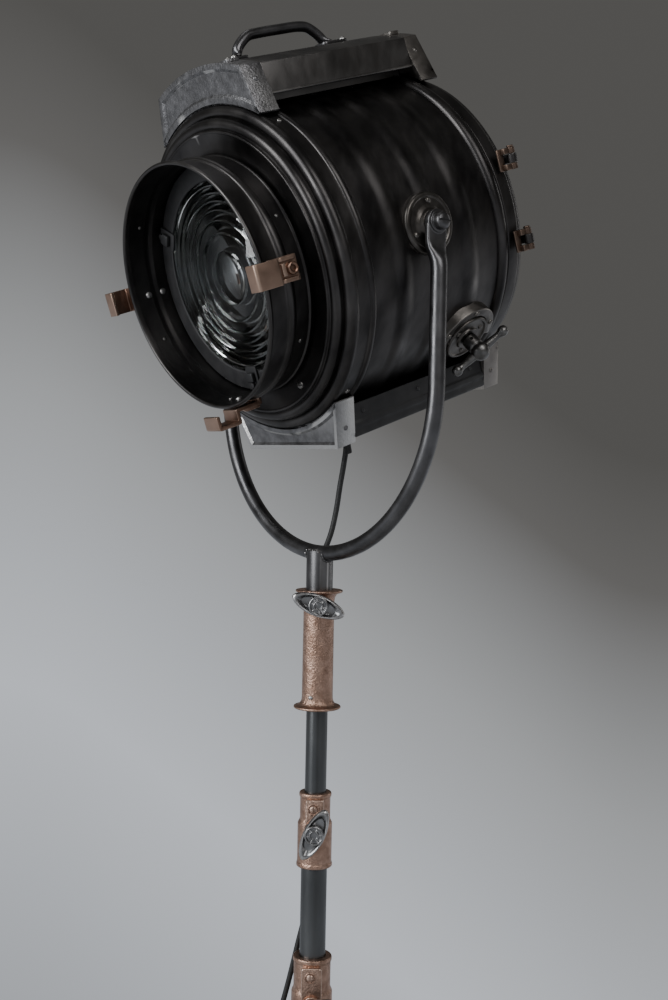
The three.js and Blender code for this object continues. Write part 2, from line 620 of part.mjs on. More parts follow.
// ---------- base ----------
function basePieces() {
  const base = new THREE.Group();
  base.position.set(0, standY, 0);
  spot.add(base);
  const lugPair = [1, -1].map((side) => {
    const low = Math.min(side * 7, side * 13);
    const high = Math.max(side * 7, side * 13);
    return cut(
      join(block(18, legPinRadius, low, high, legPinHeight - 14, legPinHeight + 14),
        disc(14, low, high, 'y', 12).translate([legPinRadius, 0, legPinHeight])),
    );
  });
  const pin = join(disc(4, -15, 15, 'y', 12), disc(6.5, 12, 16, 'y', 8), disc(6.5, -16, -12, 'y', 8));
  const pinPlaced = moved(pin, legPinRadius, 0, legPinHeight);
  const stop = block(18, legPinRadius - 4, -8, 8, legPinHeight + 14.5, legPinHeight + 20);
  const armParts = [...lugPair, stop, pinPlaced];
  const arms = legAngles.flatMap((angle) => armParts.map((body) => body.rotate([0, 0, angle])));
  const hub = cut(
    join(turned([[0, hubFoot], [24, hubFoot], [26, hubFoot + 3], [26, hubTop - 12], [22, hubTop],
      [0, hubTop]],
      'z', 20), ...arms),
    disc(columnTube + gap, hubFoot + 6, hubTop + 5, 'z', 24),
    disc(columnTube - 4, hubFoot - 5, hubFoot + 10, 'z', 24),
  );
  piece('leg_hub', hub, bronze, base);

  const foot = legPinHeight - 46; // leg axis height over the caster
  const slope = Math.atan2(legPinHeight - foot, legReach - legPinRadius);
  legAngles.forEach((angle, i) => {
    const leg = new THREE.Group();
    leg.rotation.z = angle * degree;
    base.add(leg);
    const eye = cut(disc(13, -6.5, 6.5, 'y', 12), disc(4.3, -20, 20, 'y', 12));
    const web = block(0, 30, -6.5, 6.5, -9, 9);
    const length = Math.hypot(legPinHeight - foot, legReach - legPinRadius);
    const spar = disc(11, 22, length, 'x', 12);
    const spar2 = join(cut(web, disc(4.3, -20, 20, 'y', 12)), eye, spar).rotate([0, slope / degree, 0]);
    const socket = disc(13, foot - 24, foot + 16, 'z', 16).translate([legReach, 0, 0]);
    const stemHole = disc(6.3, foot - 30, foot + 10, 'z', 12).translate([legReach, 0, 0]);
    const whole = cut(join(moved(spar2, legPinRadius, 0, legPinHeight), socket), stemHole);
    piece(`leg_${i + 1}`, whole, gunmetal, leg);

    const crown = foot - 24 - gap;
    const inner = wheelWidth / 2 + 1.5;
    const fork = join(
      disc(6, crown - 2, foot + 6, 'z', 12),
      disc(15, crown - 6, crown, 'z', 12),
      block(-15, casterTrail + 12, -inner - 3, inner + 3, crown - 10, crown - 5.5),
      ...[-1, 1].map((side) => {
        const y0 = side > 0 ? inner : -inner - 3;
        const cheek = slab([[-15, crown - 6], [casterTrail + 12, crown - 6], [casterTrail + 11, wheelRadius],
          [casterTrail + 6, wheelRadius - 9], [casterTrail - 6, wheelRadius - 9],
          [casterTrail - 11, wheelRadius]], y0, y0 + 3);
        return cheek;
      }),
      disc(4, -inner - 5, inner + 5, 'y', 12).translate([casterTrail, 0, wheelRadius]),
      disc(6.5, inner + 2, inner + 6, 'y', 12).translate([casterTrail, 0, wheelRadius]),
      disc(6.5, -inner - 6, -inner - 2, 'y', 12).translate([casterTrail, 0, wheelRadius]),
    );
    piece(`caster_fork_${i + 1}`, moved(fork, legReach, 0, 0), brightSteel, leg);
    // turned half a facet, so that each wheel stands on a flat
    const facets = 24;
    const corner = wheelRadius / Math.cos(Math.PI / facets);
    const tread = turned([[4.3, -inner + 1], [corner - 7, -inner + 1], [corner, -8], [corner, 8],
      [corner - 7, inner - 1], [4.3, inner - 1]], 'y', facets).rotate([0, 180 / facets, 0]);
    piece(`caster_wheel_${i + 1}`, moved(tread, legReach + casterTrail, 0, wheelRadius), blackRubber, leg);
  });
}

// ---------- lead ----------
// points of the lead below the gland, measured from the tilt axis
const leadRoute = {
  head: [[0, 27.9, -195.4], [0, 31.2, -204.8], [0, 32.6, -214.5], [-1.5, 31, -234], [-4, 28.6, -256],
    [-7, 26.3, -283], [-11.5, 23.2, -308], [-17, 19.5, -326], [-20.8, 16.9, -338], [-21.3, 16.6, -345.8]],
  pan: [[-21.3, 16.6, -346.2], [-22.3, 17.4, -356], [-23.2, 18.1, -366], [-23.2, 18.1, -400],
    [-23.2, 18.1, -440], [-23.2, 18.1, -479.8]],
  mast: [[-23.2, 18.1, -480.2], [-23.2, 18.1, -500], [-22.6, 17.6, -540], [-21.6, 16.9, -590],
    [-21.3, 16.6, -620], [-21.3, 16.6, -639.8]],
  floor: [[-21.3, 16.6, -640.2], [-21.6, 16.2, -662], [-22.5, 13, -692], [-24.6, 7.6, -726],
    [-27.3, 0.6, -757], [-31.4, -8, -798], [-42, -26, -880], [-55, -47, -1000], [-68, -67, -1150],
    [-82, -84, -1300], [-97, -100.5, -1440], [-114, -119, -1545], [-136, -145, -1620],
    [-164, -178, -1668], [-198, -220, -1689], [-230, -262, -1695.4], [-250, -286, -1696.4],
    [-263, -298, -1696.4], [-276, -306, -1696.4]],
};

function leadPieces() {
  const mid = (body, name) => piece(name, body, blackRubber, mast);
  for (const [name, points] of Object.entries(leadRoute)) {
    const steps = name === 'floor' ? 52 : 8;
    mid(tubeAlong(smooth(points), leadRadius, 8, steps), `lead_${name}`);
  }
  const [x, y] = coilPlace;
  const coil = ring(coilOuter, coilInner, -pivotHeight, -pivotHeight + coilHeight, 'z', 24);
  mid(moved(coil, x, y, 0), 'lead_coil');
  const plug = join(
    turned([[0, 0], [18, 0], [plugRadius, 4], [plugRadius, 20], [13, 27], [7, 40], [0, 40]], 'y', 16),
    ...[-9.5, 9.5].map((px) => disc(2.4, -18, 4, 'y', 8).translate([px, 0, 0])),
  );
  mid(moved(plug.rotate([0, 0, 180]), x + plugAt[0], y + plugAt[1], -pivotHeight + plugRadius), 'lead_plug');
}

drumPieces();
lensPieces();
ductPieces();
pivotPieces();
frameClips();
focusPieces();
doorPieces();
yokePieces();
standPieces();
basePieces();
leadPieces();

export default spot;
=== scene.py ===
"""Looks of the follow spot: every visible piece, its material, the light and the camera.

Shapes are drawn in millimetres in the frame that suits them (the drum, the mast or the floor)
and put in place by one matrix each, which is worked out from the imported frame's joints.
"""

import json
import math

import bmesh
import bpy
from mathutils import Matrix, Vector


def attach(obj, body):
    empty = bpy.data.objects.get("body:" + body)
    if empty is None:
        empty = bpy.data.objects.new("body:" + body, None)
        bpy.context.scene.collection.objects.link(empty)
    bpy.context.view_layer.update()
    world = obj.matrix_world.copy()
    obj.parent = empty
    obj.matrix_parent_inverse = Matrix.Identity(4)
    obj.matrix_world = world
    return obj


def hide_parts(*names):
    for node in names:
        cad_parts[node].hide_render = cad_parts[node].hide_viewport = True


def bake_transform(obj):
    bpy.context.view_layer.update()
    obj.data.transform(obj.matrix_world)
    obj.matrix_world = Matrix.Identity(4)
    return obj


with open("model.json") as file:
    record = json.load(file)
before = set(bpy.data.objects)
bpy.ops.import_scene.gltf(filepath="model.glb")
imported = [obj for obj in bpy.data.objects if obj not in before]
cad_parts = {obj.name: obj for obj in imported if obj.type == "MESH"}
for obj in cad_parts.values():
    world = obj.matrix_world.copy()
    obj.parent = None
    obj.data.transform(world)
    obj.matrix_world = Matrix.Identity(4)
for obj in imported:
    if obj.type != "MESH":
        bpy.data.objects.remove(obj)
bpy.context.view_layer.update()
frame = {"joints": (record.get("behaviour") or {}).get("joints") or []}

# ---------- frames of reference, in millimetres ----------
joints = {joint["name"]: joint for joint in frame["joints"]}
pivot = Vector(joints["tilt"]["pos_m"])
slide = joints["focus_slide"]["axis"]
tilt = math.atan2(slide[2], slide[1])
pivot_above_axis = 5.8
to_metres = Matrix.Scale(0.001, 4)
MAST = Matrix.Translation(pivot) @ to_metres
DRUM = MAST @ Matrix.Rotation(tilt, 4, "X") @ Matrix.Translation((0, 0, -pivot_above_axis))
FLOOR = Matrix.Translation((0, pivot.y, 0)) @ to_metres
focus_angle = math.radians(45)
focus_y = 57
FOCUS = DRUM @ Matrix.Translation((0, focus_y, 0)) @ Matrix.Rotation(focus_angle, 4, "Y")
knob_turn = math.radians(-38)
FACING = MAST @ Matrix.Rotation(knob_turn, 4, "Z")
GLAND_Y = -38


# ---------- camera ----------
def add_camera():
    yaw, pitch, roll = (math.radians(a) for a in (52.3, -1.6, 1.1))
    forward = Vector((-math.sin(yaw) * math.cos(pitch), math.cos(yaw) * math.cos(pitch), math.sin(pitch)))
    level = Vector((math.cos(yaw), math.sin(yaw), 0))
    upright = level.cross(forward)
    right = level * math.cos(roll) + upright * math.sin(roll)
    up = upright * math.cos(roll) - level * math.sin(roll)
    camera = bpy.data.objects.new("camera", bpy.data.cameras.new("camera"))
    bpy.context.scene.collection.objects.link(camera)
    camera.data.sensor_width = 36
    camera.data.lens = 46.4
    place = Matrix((right, up, -forward)).transposed().to_4x4()
    place.translation = MAST @ Vector((1095.6, -829.2, -232.8))
    camera.matrix_world = place
    bpy.context.scene.camera = camera
    return camera


camera = add_camera()


# ---------- light and stage ----------
def area_light(name, place, aim, width, height, power, colour=(1, 1, 1)):
    data = bpy.data.lights.new(name, "AREA")
    data.shape = "RECTANGLE"
    data.size, data.size_y = width, height
    data.energy = power
    data.color = colour
    light = bpy.data.objects.new(name, data)
    bpy.context.scene.collection.objects.link(light)
    look = (Vector(aim) - Vector(place)).to_track_quat("-Z", "Y")
    light.matrix_world = Matrix.Translation(place) @ look.to_matrix().to_4x4()
    return light


def from_camera(right, ahead, up):
    """A point measured from the mast's top, to the camera's right, away from it, and up."""
    turn = camera.matrix_world.to_3x3()
    across = Vector((turn.col[0].x, turn.col[0].y, 0)).normalized()
    away = Vector((-turn.col[2].x, -turn.col[2].y, 0)).normalized()
    return pivot + across * right + away * ahead + Vector((0, 0, up))


def add_stage():
    """A pale round floor, small enough to stay below the photograph's view."""
    mesh = bpy.data.meshes.new("studio_floor")
    bm = bmesh.new()
    bmesh.ops.create_circle(bm, cap_ends=True, segments=96, radius=2.0)
    bmesh.ops.translate(bm, verts=bm.verts, vec=(pivot.x, pivot.y, 0))
    bm.to_mesh(mesh)
    bm.free()
    floor = bpy.data.objects.new("studio_floor", mesh)
    bpy.context.scene.collection.objects.link(floor)
    material = bpy.data.materials.new("studio_paint")
    material.use_nodes = True
    shader = material.node_tree.nodes["Principled BSDF"]
    shader.inputs["Base Color"].default_value = (0.62, 0.63, 0.64, 1)
    shader.inputs["Roughness"].default_value = 0.9
    mesh.materials.append(material)


def arithmetic(tree, operation, first, second=None):
    node = tree.nodes.new("ShaderNodeMath")
    node.operation = operation
    tree.links.new(first, node.inputs[0])
    if second is not None:
        tree.links.new(second, node.inputs[1])
    return node.outputs["Value"]


def add_light():
    area_light("window", from_camera(-1.9, -1.3, 0.5), from_camera(0, 0, -0.1), 1.1, 1.9, 60,
               (0.95, 0.98, 1))
    area_light("front_fill", from_camera(0.9, -2.0, 1.3), from_camera(0, 0, 0.1), 1.5, 1.3, 26)
    area_light("rim", from_camera(1.9, 0.9, 0.3), from_camera(0, 0, -0.1), 0.35, 1.8, 4)
    area_light("top", from_camera(-0.5, 0.3, 1.9), from_camera(0, 0, 0), 0.7, 0.7, 3)
    world = bpy.data.worlds.new("studio")
    world.use_nodes = True
    tree = world.node_tree
    direction = tree.nodes.new("ShaderNodeTexCoord")
    parts = tree.nodes.new("ShaderNodeSeparateXYZ")
    tree.links.new(direction.outputs["Generated"], parts.inputs["Vector"])
    across = tree.nodes.new("ShaderNodeVectorMath")
    across.operation = "DOT_PRODUCT"
    across.inputs[1].default_value = (from_camera(1, 0, 0) - from_camera(0, 0, 0)).normalized()
    tree.links.new(direction.outputs["Generated"], across.inputs[0])
    off_centre = arithmetic(tree, "ABSOLUTE", across.outputs["Value"])
    lean = tree.nodes.new("ShaderNodeMapRange")
    lean.interpolation_type = "SMOOTHSTEP"
    for socket, value in (("From Min", 0.18), ("From Max", 0.5), ("To Min", 0.75), ("To Max", 0.0)):
        lean.inputs[socket].default_value = value
    tree.links.new(off_centre, lean.inputs["Value"])
    slope = arithmetic(tree, "MULTIPLY", across.outputs["Value"], lean.outputs["Result"])
    height = arithmetic(tree, "ADD", parts.outputs["Z"], slope)
    spread = tree.nodes.new("ShaderNodeMapRange")
    spread.inputs["From Min"].default_value = -0.55
    spread.inputs["From Max"].default_value = 0.45
    tree.links.new(height, spread.inputs["Value"])
    shades = tree.nodes.new("ShaderNodeValToRGB")
    elements = shades.color_ramp.elements
    elements[0].position, elements[0].color = 0.0, (0.42, 0.44, 0.47, 1)
    elements[1].position, elements[1].color = 0.72, (0.09, 0.088, 0.084, 1)
    for position, color in ((0.22, (0.6, 0.63, 0.68, 1)), (0.445, (0.37, 0.38, 0.39, 1)),
                            (0.62, (0.13, 0.127, 0.123, 1))):
        elements.new(position).color = color
    tree.links.new(spread.outputs["Result"], shades.inputs["Fac"])
    tree.links.new(shades.outputs["Color"], tree.nodes["Background"].inputs["Color"])
    tree.nodes["Background"].inputs["Strength"].default_value = 1.0
    bpy.context.scene.world = world


add_stage()
add_light()


# ---------- shells: (vertices, faces) in millimetres ----------
def soften(points, closed=True, steps=4):
    """Rounds each corner given as (a, b, reach); reach is how far the curve starts from it."""
    out = []
    for i, point in enumerate(points):
        here = Vector(point[:2])
        reach = point[2] if len(point) > 2 else 0
        if reach <= 0 or (not closed and i in (0, len(points) - 1)):
            out.append(tuple(here))
            continue
        back = Vector(points[i - 1][:2]) - here
        ahead = Vector(points[(i + 1) % len(points)][:2]) - here
        reach = min(reach, 0.49 * back.length, 0.49 * ahead.length)
        start = here + back.normalized() * reach
        end = here + ahead.normalized() * reach
        for k in range(steps + 1):
            t = k / steps
            out.append(tuple(start * (1 - t) ** 2 + here * 2 * t * (1 - t) + end * t * t))
    return out


def eased(t):
    """0 below 0, 1 above 1, and a smooth rise between."""
    t = min(1.0, max(0.0, t))
    return t * t * (3 - 2 * t)


def from_bmesh(bm):
    bm.verts.index_update()
    shell = ([v.co.copy() for v in bm.verts], [[v.index for v in f.verts] for f in bm.faces])
    bm.free()
    return shell


def to_bmesh(shell):
    bm = bmesh.new()
    verts = [bm.verts.new(v) for v in shell[0]]
    for face in shell[1]:
        bm.faces.new([verts[i] for i in face])
    return bm


def tidy(shell):
    weld = 1e-4
    bm = to_bmesh(shell)
    bmesh.ops.remove_doubles(bm, verts=bm.verts, dist=weld)
    bmesh.ops.dissolve_degenerate(bm, edges=bm.edges, dist=weld)
    bmesh.ops.recalc_face_normals(bm, faces=bm.faces)
    return from_bmesh(bm)


def rounded(shell, width, angle=35, segments=3):
    """Rounds every edge sharper than the angle."""
    bm = to_bmesh(shell)
    bmesh.ops.recalc_face_normals(bm, faces=bm.faces)
    limit = math.radians(angle)
    sharp = [e for e in bm.edges if len(e.link_faces) == 2 and e.calc_face_angle(0) > limit]
    bmesh.ops.bevel(bm, geom=sharp, offset=width, segments=segments, profile=0.5,
                    affect="EDGES", clamp_overlap=True)
    return from_bmesh(bm)


AXES = {
    "x": lambda a, b, c: (c, a, b),
    "y": lambda a, b, c: (a, c, b),
    "z": lambda a, b, c: (a, b, c),
}


def band(ring, count):
    """The faces between one ring of vertices and the next."""
    start, end = ring * count, (ring + 1) * count
    return [(start + j, start + (j + 1) % count, end + (j + 1) % count, end + j) for j in range(count)]


def revolve(profile, axis="z", closed=True, turns=128):
    """Turns (radius, height) points round an axis; an open profile starts and ends on it."""
    place = AXES[axis]
    count = len(profile)
    verts = []
    for i in range(turns):
        angle = 2 * math.pi * i / turns
        for radius, height in profile:
            verts.append(place(radius * math.cos(angle), radius * math.sin(angle), height))
    faces = []
    for i in range(turns):
        for j in range(count if closed else count - 1):
            k = (j + 1) % count
            n = (i + 1) % turns
            faces.append((i * count + j, i * count + k, n * count + k, n * count + j))
    return tidy((verts, faces))


def lathe(outline, axis="z", turns=128):
    """A solid turned from an outline that starts and ends on the axis, with its corners rounded."""
    return revolve(soften(outline, closed=False), axis, closed=False, turns=turns)


def hoop(outline, axis="z", turns=128):
    """A ring turned from a closed outline, with its corners rounded."""
    return revolve(soften(outline), axis, turns=turns)


def rod(radius, low, high, axis="z", edge=0.6, turns=48):
    edge = min(edge, radius * 0.5, (high - low) * 0.4)
    return lathe([(0, low), (radius, low, edge), (radius, high, edge), (0, high)], axis, turns)


def pipe(outer, inner, low, high, axis="z", edge=0.6, turns=64):
    return hoop([(outer, low, edge), (outer, high, edge), (inner, high, edge), (inner, low, edge)], axis,
                turns)


def prism(outline, low, high, axis="y", edge=0.0):
    place = AXES[axis]
    count = len(outline)
    verts = [place(a, b, c) for c in (low, high) for a, b in outline]
    faces = [tuple(range(count)), tuple(range(2 * count - 1, count - 1, -1))]
    faces += [(i, (i + 1) % count, count + (i + 1) % count, count + i) for i in range(count)]
    shell = (verts, faces)
    return rounded(shell, edge) if edge else tidy(shell)


def slab(x0, x1, y0, y1, z0, z1, edge=0.8):
    return prism([(x0, z0), (x1, z0), (x1, z1), (x0, z1)], y0, y1, "y", edge)


def smooth_path(points, steps):
    """Evenly spaced points on a smooth curve through the given ones."""
    knots = [Vector(p) for p in points]
    knots = [knots[0] * 2 - knots[1]] + knots + [knots[-1] * 2 - knots[-2]]
    fine = []
    for a, b, c, d in zip(knots, knots[1:], knots[2:], knots[3:]):
        t = [0.0]
        for p, q in ((a, b), (b, c), (c, d)):
            t.append(t[-1] + max((q - p).length, 1e-6) ** 0.5)
        for k in range(16):
            u = t[1] + (t[2] - t[1]) * k / 16
            ab = a * ((t[1] - u) / (t[1] - t[0])) + b * ((u - t[0]) / (t[1] - t[0]))
            bc = b * ((t[2] - u) / (t[2] - t[1])) + c * ((u - t[1]) / (t[2] - t[1]))
            cd = c * ((t[3] - u) / (t[3] - t[2])) + d * ((u - t[2]) / (t[3] - t[2]))
            abc = ab * ((t[2] - u) / (t[2] - t[0])) + bc * ((u - t[0]) / (t[2] - t[0]))
            bcd = bc * ((t[3] - u) / (t[3] - t[1])) + cd * ((u - t[1]) / (t[3] - t[1]))
            fine.append(abc * ((t[2] - u) / (t[2] - t[1])) + bcd * ((u - t[1]) / (t[2] - t[1])))
    fine.append(knots[-2])
    return resample(fine, steps)


def resample(points, steps):
    lengths = [0.0]
    for p, q in zip(points, points[1:]):
        lengths.append(lengths[-1] + (q - p).length)
    out = []
    j = 0
    for k in range(steps + 1):
        target = lengths[-1] * k / steps
        while j < len(points) - 2 and lengths[j + 1] < target:
            j += 1
        span = max(lengths[j + 1] - lengths[j], 1e-9)
        out.append(points[j].lerp(points[j + 1], min(1, (target - lengths[j]) / span)))
    return out


def circle(radius, sides):
    return [(radius * math.cos(2 * math.pi * k / sides), radius * math.sin(2 * math.pi * k / sides))
            for k in range(sides)]


def sweep(points, section, side=Vector((0, 1, 0))):
    """A closed tube along points. section(t) gives the outline at the fraction t of the way."""
    frames = []
    across = side.copy()
    for i, point in enumerate(points):
        before, after = points[max(i - 1, 0)], points[min(i + 1, len(points) - 1)]
        along = (after - before).normalized()
        across = (across - along * across.dot(along)).normalized()
        frames.append((point, across, along.cross(across)))
    rings = [[p + u * a + v * b for a, b in section(i / (len(points) - 1))]
             for i, (p, u, v) in enumerate(frames)]
    count = len(rings[0])
    verts = [v for ring in rings for v in ring]
    faces = [tuple(range(count)), tuple(range(len(verts) - 1, len(verts) - count - 1, -1))]
    for i in range(len(rings) - 1):
        faces += band(i, count)
    return tidy((verts, faces))


def moved(shell, matrix):
    return [matrix @ Vector(v) for v in shell[0]], shell[1]


def shifted(shell, x, y, z):
    return moved(shell, Matrix.Translation((x, y, z)))


def turned(shell, degrees, axis):
    return moved(shell, Matrix.Rotation(math.radians(degrees), 4, axis.upper()))


def raw_object(name, shells, matrix):
    verts, faces = [], []
    for shell in shells:
        start = len(verts)
        verts += [matrix @ Vector(v) for v in shell[0]]
        faces += [[start + i for i in face] for face in shell[1]]
    mesh = bpy.data.meshes.new(name)
    mesh.from_pydata(verts, [], faces)
    mesh.update()
    thing = bpy.data.objects.new(name, mesh)
    bpy.context.scene.collection.objects.link(thing)
    return thing


def carve(thing, shells, matrix):
    """Cuts shells out of an object."""
    tool = raw_object("cutter", shells, matrix)
    cut = thing.modifiers.new("cut", "BOOLEAN")
    cut.solver = "EXACT"
    cut.object = tool
    graph = bpy.context.evaluated_depsgraph_get()
    mesh = bpy.data.meshes.new_from_object(thing.evaluated_get(graph))
    thing.modifiers.clear()
    thing.data = mesh
    bpy.data.objects.remove(tool)


def shade(thing, angle=32):
    thing.data.polygons.foreach_set("use_smooth", [True] * len(thing.data.polygons))
    thing.data.set_sharp_from_angle(angle=math.radians(angle))


def piece(name, shells, matrix, material, body, instead=(), cuts=(), angle=32):
    thing = raw_object(name, shells, matrix)
    if cuts:
        carve(thing, cuts, matrix)
    shade(thing, angle)
    thing.data.materials.clear()
    thing.data.materials.append(material)
    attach(thing, body)
    if instead:
        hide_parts(*instead)
    return thing


# ---------- materials ----------
def new_material(name, roughness=0.4, metallic=0.0):
    material = bpy.data.materials.new(name)
    material.use_nodes = True
    tree = material.node_tree
    shader = tree.nodes["Principled BSDF"]
    shader.inputs["Roughness"].default_value = roughness
    shader.inputs["Metallic"].default_value = metallic
    return material, tree, shader


def noise(tree, scale, detail=4, stretch=(1, 1, 1)):
    """A noise texture in object space, in cells to a metre."""
    place = tree.nodes.new("ShaderNodeTexCoord")
    size = tree.nodes.new("ShaderNodeMapping")
    size.inputs["Scale"].default_value = stretch
    texture = tree.nodes.new("ShaderNodeTexNoise")
    texture.inputs["Scale"].default_value = scale
    texture.inputs["Detail"].default_value = detail
    tree.links.new(place.outputs["Object"], size.inputs["Vector"])
    tree.links.new(size.outputs["Vector"], texture.inputs["Vector"])
    return texture.outputs["Fac"]


def ramp(tree, value, stops):
    node = tree.nodes.new("ShaderNodeValToRGB")
    elements = node.color_ramp.elements
    while len(elements) < len(stops):
        elements.new(0.5)
    for element, (spot, colour) in zip(elements, stops):
        element.position = spot
        element.color = (*colour, 1)
    tree.links.new(value, node.inputs["Fac"])
    return node.outputs["Color"]


def grey(level):
    return (level, level, level)


def wandering_gloss(tree, shader, value, low, high, top=0.75):
    """Roughness that wanders between low and high."""
    gloss = ramp(tree, value, [(0.3, grey(low)), (top, grey(high))])
    tree.links.new(gloss, shader.inputs["Roughness"])


def mixed(tree, factor, a, b):
    node = tree.nodes.new("ShaderNodeMix")
    node.data_type = "RGBA"
    for socket, value in ((node.inputs["Factor"], factor), (node.inputs[6], a), (node.inputs[7], b)):
        if isinstance(value, bpy.types.NodeSocket):
            tree.links.new(value, socket)
        else:
            socket.default_value = value
    return node.outputs[2]


def worn_and_highlit_edge(tree, low=0.52, high=0.6):
    """1 on outer edges, lightened partly for wear from handling and partly as a painted highlight."""
    geometry = tree.nodes.new("ShaderNodeNewGeometry")
    return ramp(tree, geometry.outputs["Pointiness"], [(low, grey(0)), (high, grey(1))])


def bump(tree, shader, height, strength, distance):
    node = tree.nodes.new("ShaderNodeBump")
    node.inputs["Strength"].default_value = strength
    node.inputs["Distance"].default_value = distance
    tree.links.new(height, node.inputs["Height"])
    tree.links.new(node.outputs["Normal"], shader.inputs["Normal"])


PEBBLE_SCALE = 420


def metal(name, dark, light, edge, rough, grain=60, grain_bump=0.0, pebble=0.0,
          stretch=(1, 1, 1), wear_and_highlight_at=(0.52, 0.6)):
    """Metal whose colour wanders between dark and light, with edges lightened for wear and as a painted
    highlight.
    """
    material, tree, shader = new_material(name, metallic=1.0)
    cloud = noise(tree, grain, 5, stretch)
    body = ramp(tree, cloud, [(0.3, dark), (0.7, light)])
    # outer edges mix toward the edge colour: part real wear, part painted highlight
    tree.links.new(mixed(tree, worn_and_highlit_edge(tree, *wear_and_highlight_at), body, (*edge, 1)), shader.inputs["Base Color"])
    wandering_gloss(tree, shader, noise(tree, grain * 2.3, 6, stretch), *rough)
    if pebble:
        bump(tree, shader, noise(tree, PEBBLE_SCALE, 3), pebble, 0.0012)
    elif grain_bump:
        bump(tree, shader, noise(tree, grain * 3, 4, stretch), grain_bump, 0.0003)
    return material


# the third colour of each metal is its edge colour, partly worn metal and partly painted highlight
DRUM_STEEL = metal("blackened_steel", (0.027, 0.0255, 0.026), (0.08, 0.075, 0.073), (0.5, 0.48, 0.46),
                   (0.3, 0.46), grain=22, grain_bump=0.03, stretch=(1, 1.6, 0.8), wear_and_highlight_at=(0.53, 0.64))
DARK_CASTING = metal("dark_sand_casting", (0.12, 0.118, 0.12), (0.22, 0.216, 0.222), (0.5, 0.49, 0.48),
                     (0.36, 0.52), grain=120, pebble=0.45, wear_and_highlight_at=(0.55, 0.68))
SMOOTH_CASTING = metal("dressed_casting", (0.055, 0.05, 0.046), (0.13, 0.12, 0.112), (0.42, 0.39, 0.36),
                       (0.3, 0.46), grain=70, grain_bump=0.3)
BRONZE = metal("sand_cast_bronze", (0.3, 0.185, 0.135), (0.51, 0.34, 0.265), (0.88, 0.71, 0.61),
               (0.34, 0.5), grain=110, pebble=0.7)
DARK_BRONZE = metal("dark_bronze", (0.06, 0.042, 0.034), (0.12, 0.08, 0.06), (0.32, 0.23, 0.18),
                    (0.36, 0.5), grain=80, grain_bump=0.25)
CLIP_BRONZE = metal("sheet_bronze", (0.18, 0.105, 0.074), (0.3, 0.188, 0.14), (0.8, 0.62, 0.5),
                    (0.34, 0.46), grain=60, grain_bump=0.25)
YOKE_STEEL = metal("yoke_steel", (0.07, 0.069, 0.071), (0.14, 0.137, 0.141), (0.5, 0.48, 0.47),
                   (0.3, 0.46), grain=34, grain_bump=0.18, wear_and_highlight_at=(0.54, 0.68))
RISER_STEEL = metal("riser_steel", (0.075, 0.078, 0.081), (0.135, 0.139, 0.142), (0.45, 0.45, 0.44),
                    (0.3, 0.46), grain=30, grain_bump=0.12, stretch=(1, 1, 0.25))
KNOB_STEEL = metal("cast_knob_steel", (0.16, 0.16, 0.165), (0.3, 0.298, 0.3), (0.72, 0.7, 0.69),
                   (0.26, 0.4), grain=80, grain_bump=0.3, wear_and_highlight_at=(0.515, 0.58))
FASTENER = metal("fastener_steel", (0.28, 0.275, 0.27), (0.45, 0.44, 0.43), (0.75, 0.73, 0.7),
                 (0.25, 0.4), grain=160, grain_bump=0.2)
DARK_FASTENER = metal("dark_fastener", (0.09, 0.088, 0.086), (0.17, 0.165, 0.16), (0.42, 0.4, 0.38),
                      (0.3, 0.46), grain=160, grain_bump=0.2)
MIRROR = metal("reflector_mirror", (0.86, 0.87, 0.88), (0.93, 0.93, 0.94), (0.95, 0.95, 0.95),
               (0.06, 0.14), grain=30)


def soft_finish(name, dark, light, rough, scale, strength=0.2, coat=0.0):
    material, tree, shader = new_material(name)
    tree.links.new(ramp(tree, noise(tree, scale, 5), [(0.3, dark), (0.75, light)]),
                   shader.inputs["Base Color"])
    wandering_gloss(tree, shader, noise(tree, scale * 1.7, 4), *rough)
    bump(tree, shader, noise(tree, scale * 4, 4), strength, 0.0003)
    shader.inputs["Coat Weight"].default_value = coat
    return material


BLACK_PAINT = soft_finish("black_enamel", (0.009, 0.009, 0.01), (0.022, 0.021, 0.022), (0.48, 0.66), 60)
LEAD_RUBBER = soft_finish("lead_rubber", (0.009, 0.009, 0.009), (0.022, 0.021, 0.02), (0.5, 0.72), 120)
WHEEL_RUBBER = soft_finish("caster_rubber", (0.014, 0.014, 0.014), (0.034, 0.033, 0.032), (0.6, 0.85), 90)
PORCELAIN = soft_finish("porcelain", (0.76, 0.73, 0.66), (0.86, 0.84, 0.78), (0.16, 0.3), 40, 0.08,
                        coat=0.4)


def glass(name, colour, rough, pebble=0.0, size=300):
    material, tree, shader = new_material(name, roughness=rough)
    shader.inputs["Base Color"].default_value = (*colour, 1)
    shader.inputs["Transmission Weight"].default_value = 1.0
    shader.inputs["IOR"].default_value = 1.5
    wandering_gloss(tree, shader, noise(tree, 90, 3), rough, rough + 0.04, top=0.8)
    if pebble:
        bump(tree, shader, noise(tree, size, 2), pebble, 0.0006)
    return material


LENS_GLASS = glass("lens_glass", (0.93, 0.96, 0.95), 0.02)
LENS_BACK = glass("pebbled_glass", (0.82, 0.87, 0.84), 0.42, pebble=0.9, size=260)
BULB_GLASS = glass("bulb_glass", (0.97, 0.97, 0.96), 0.01)


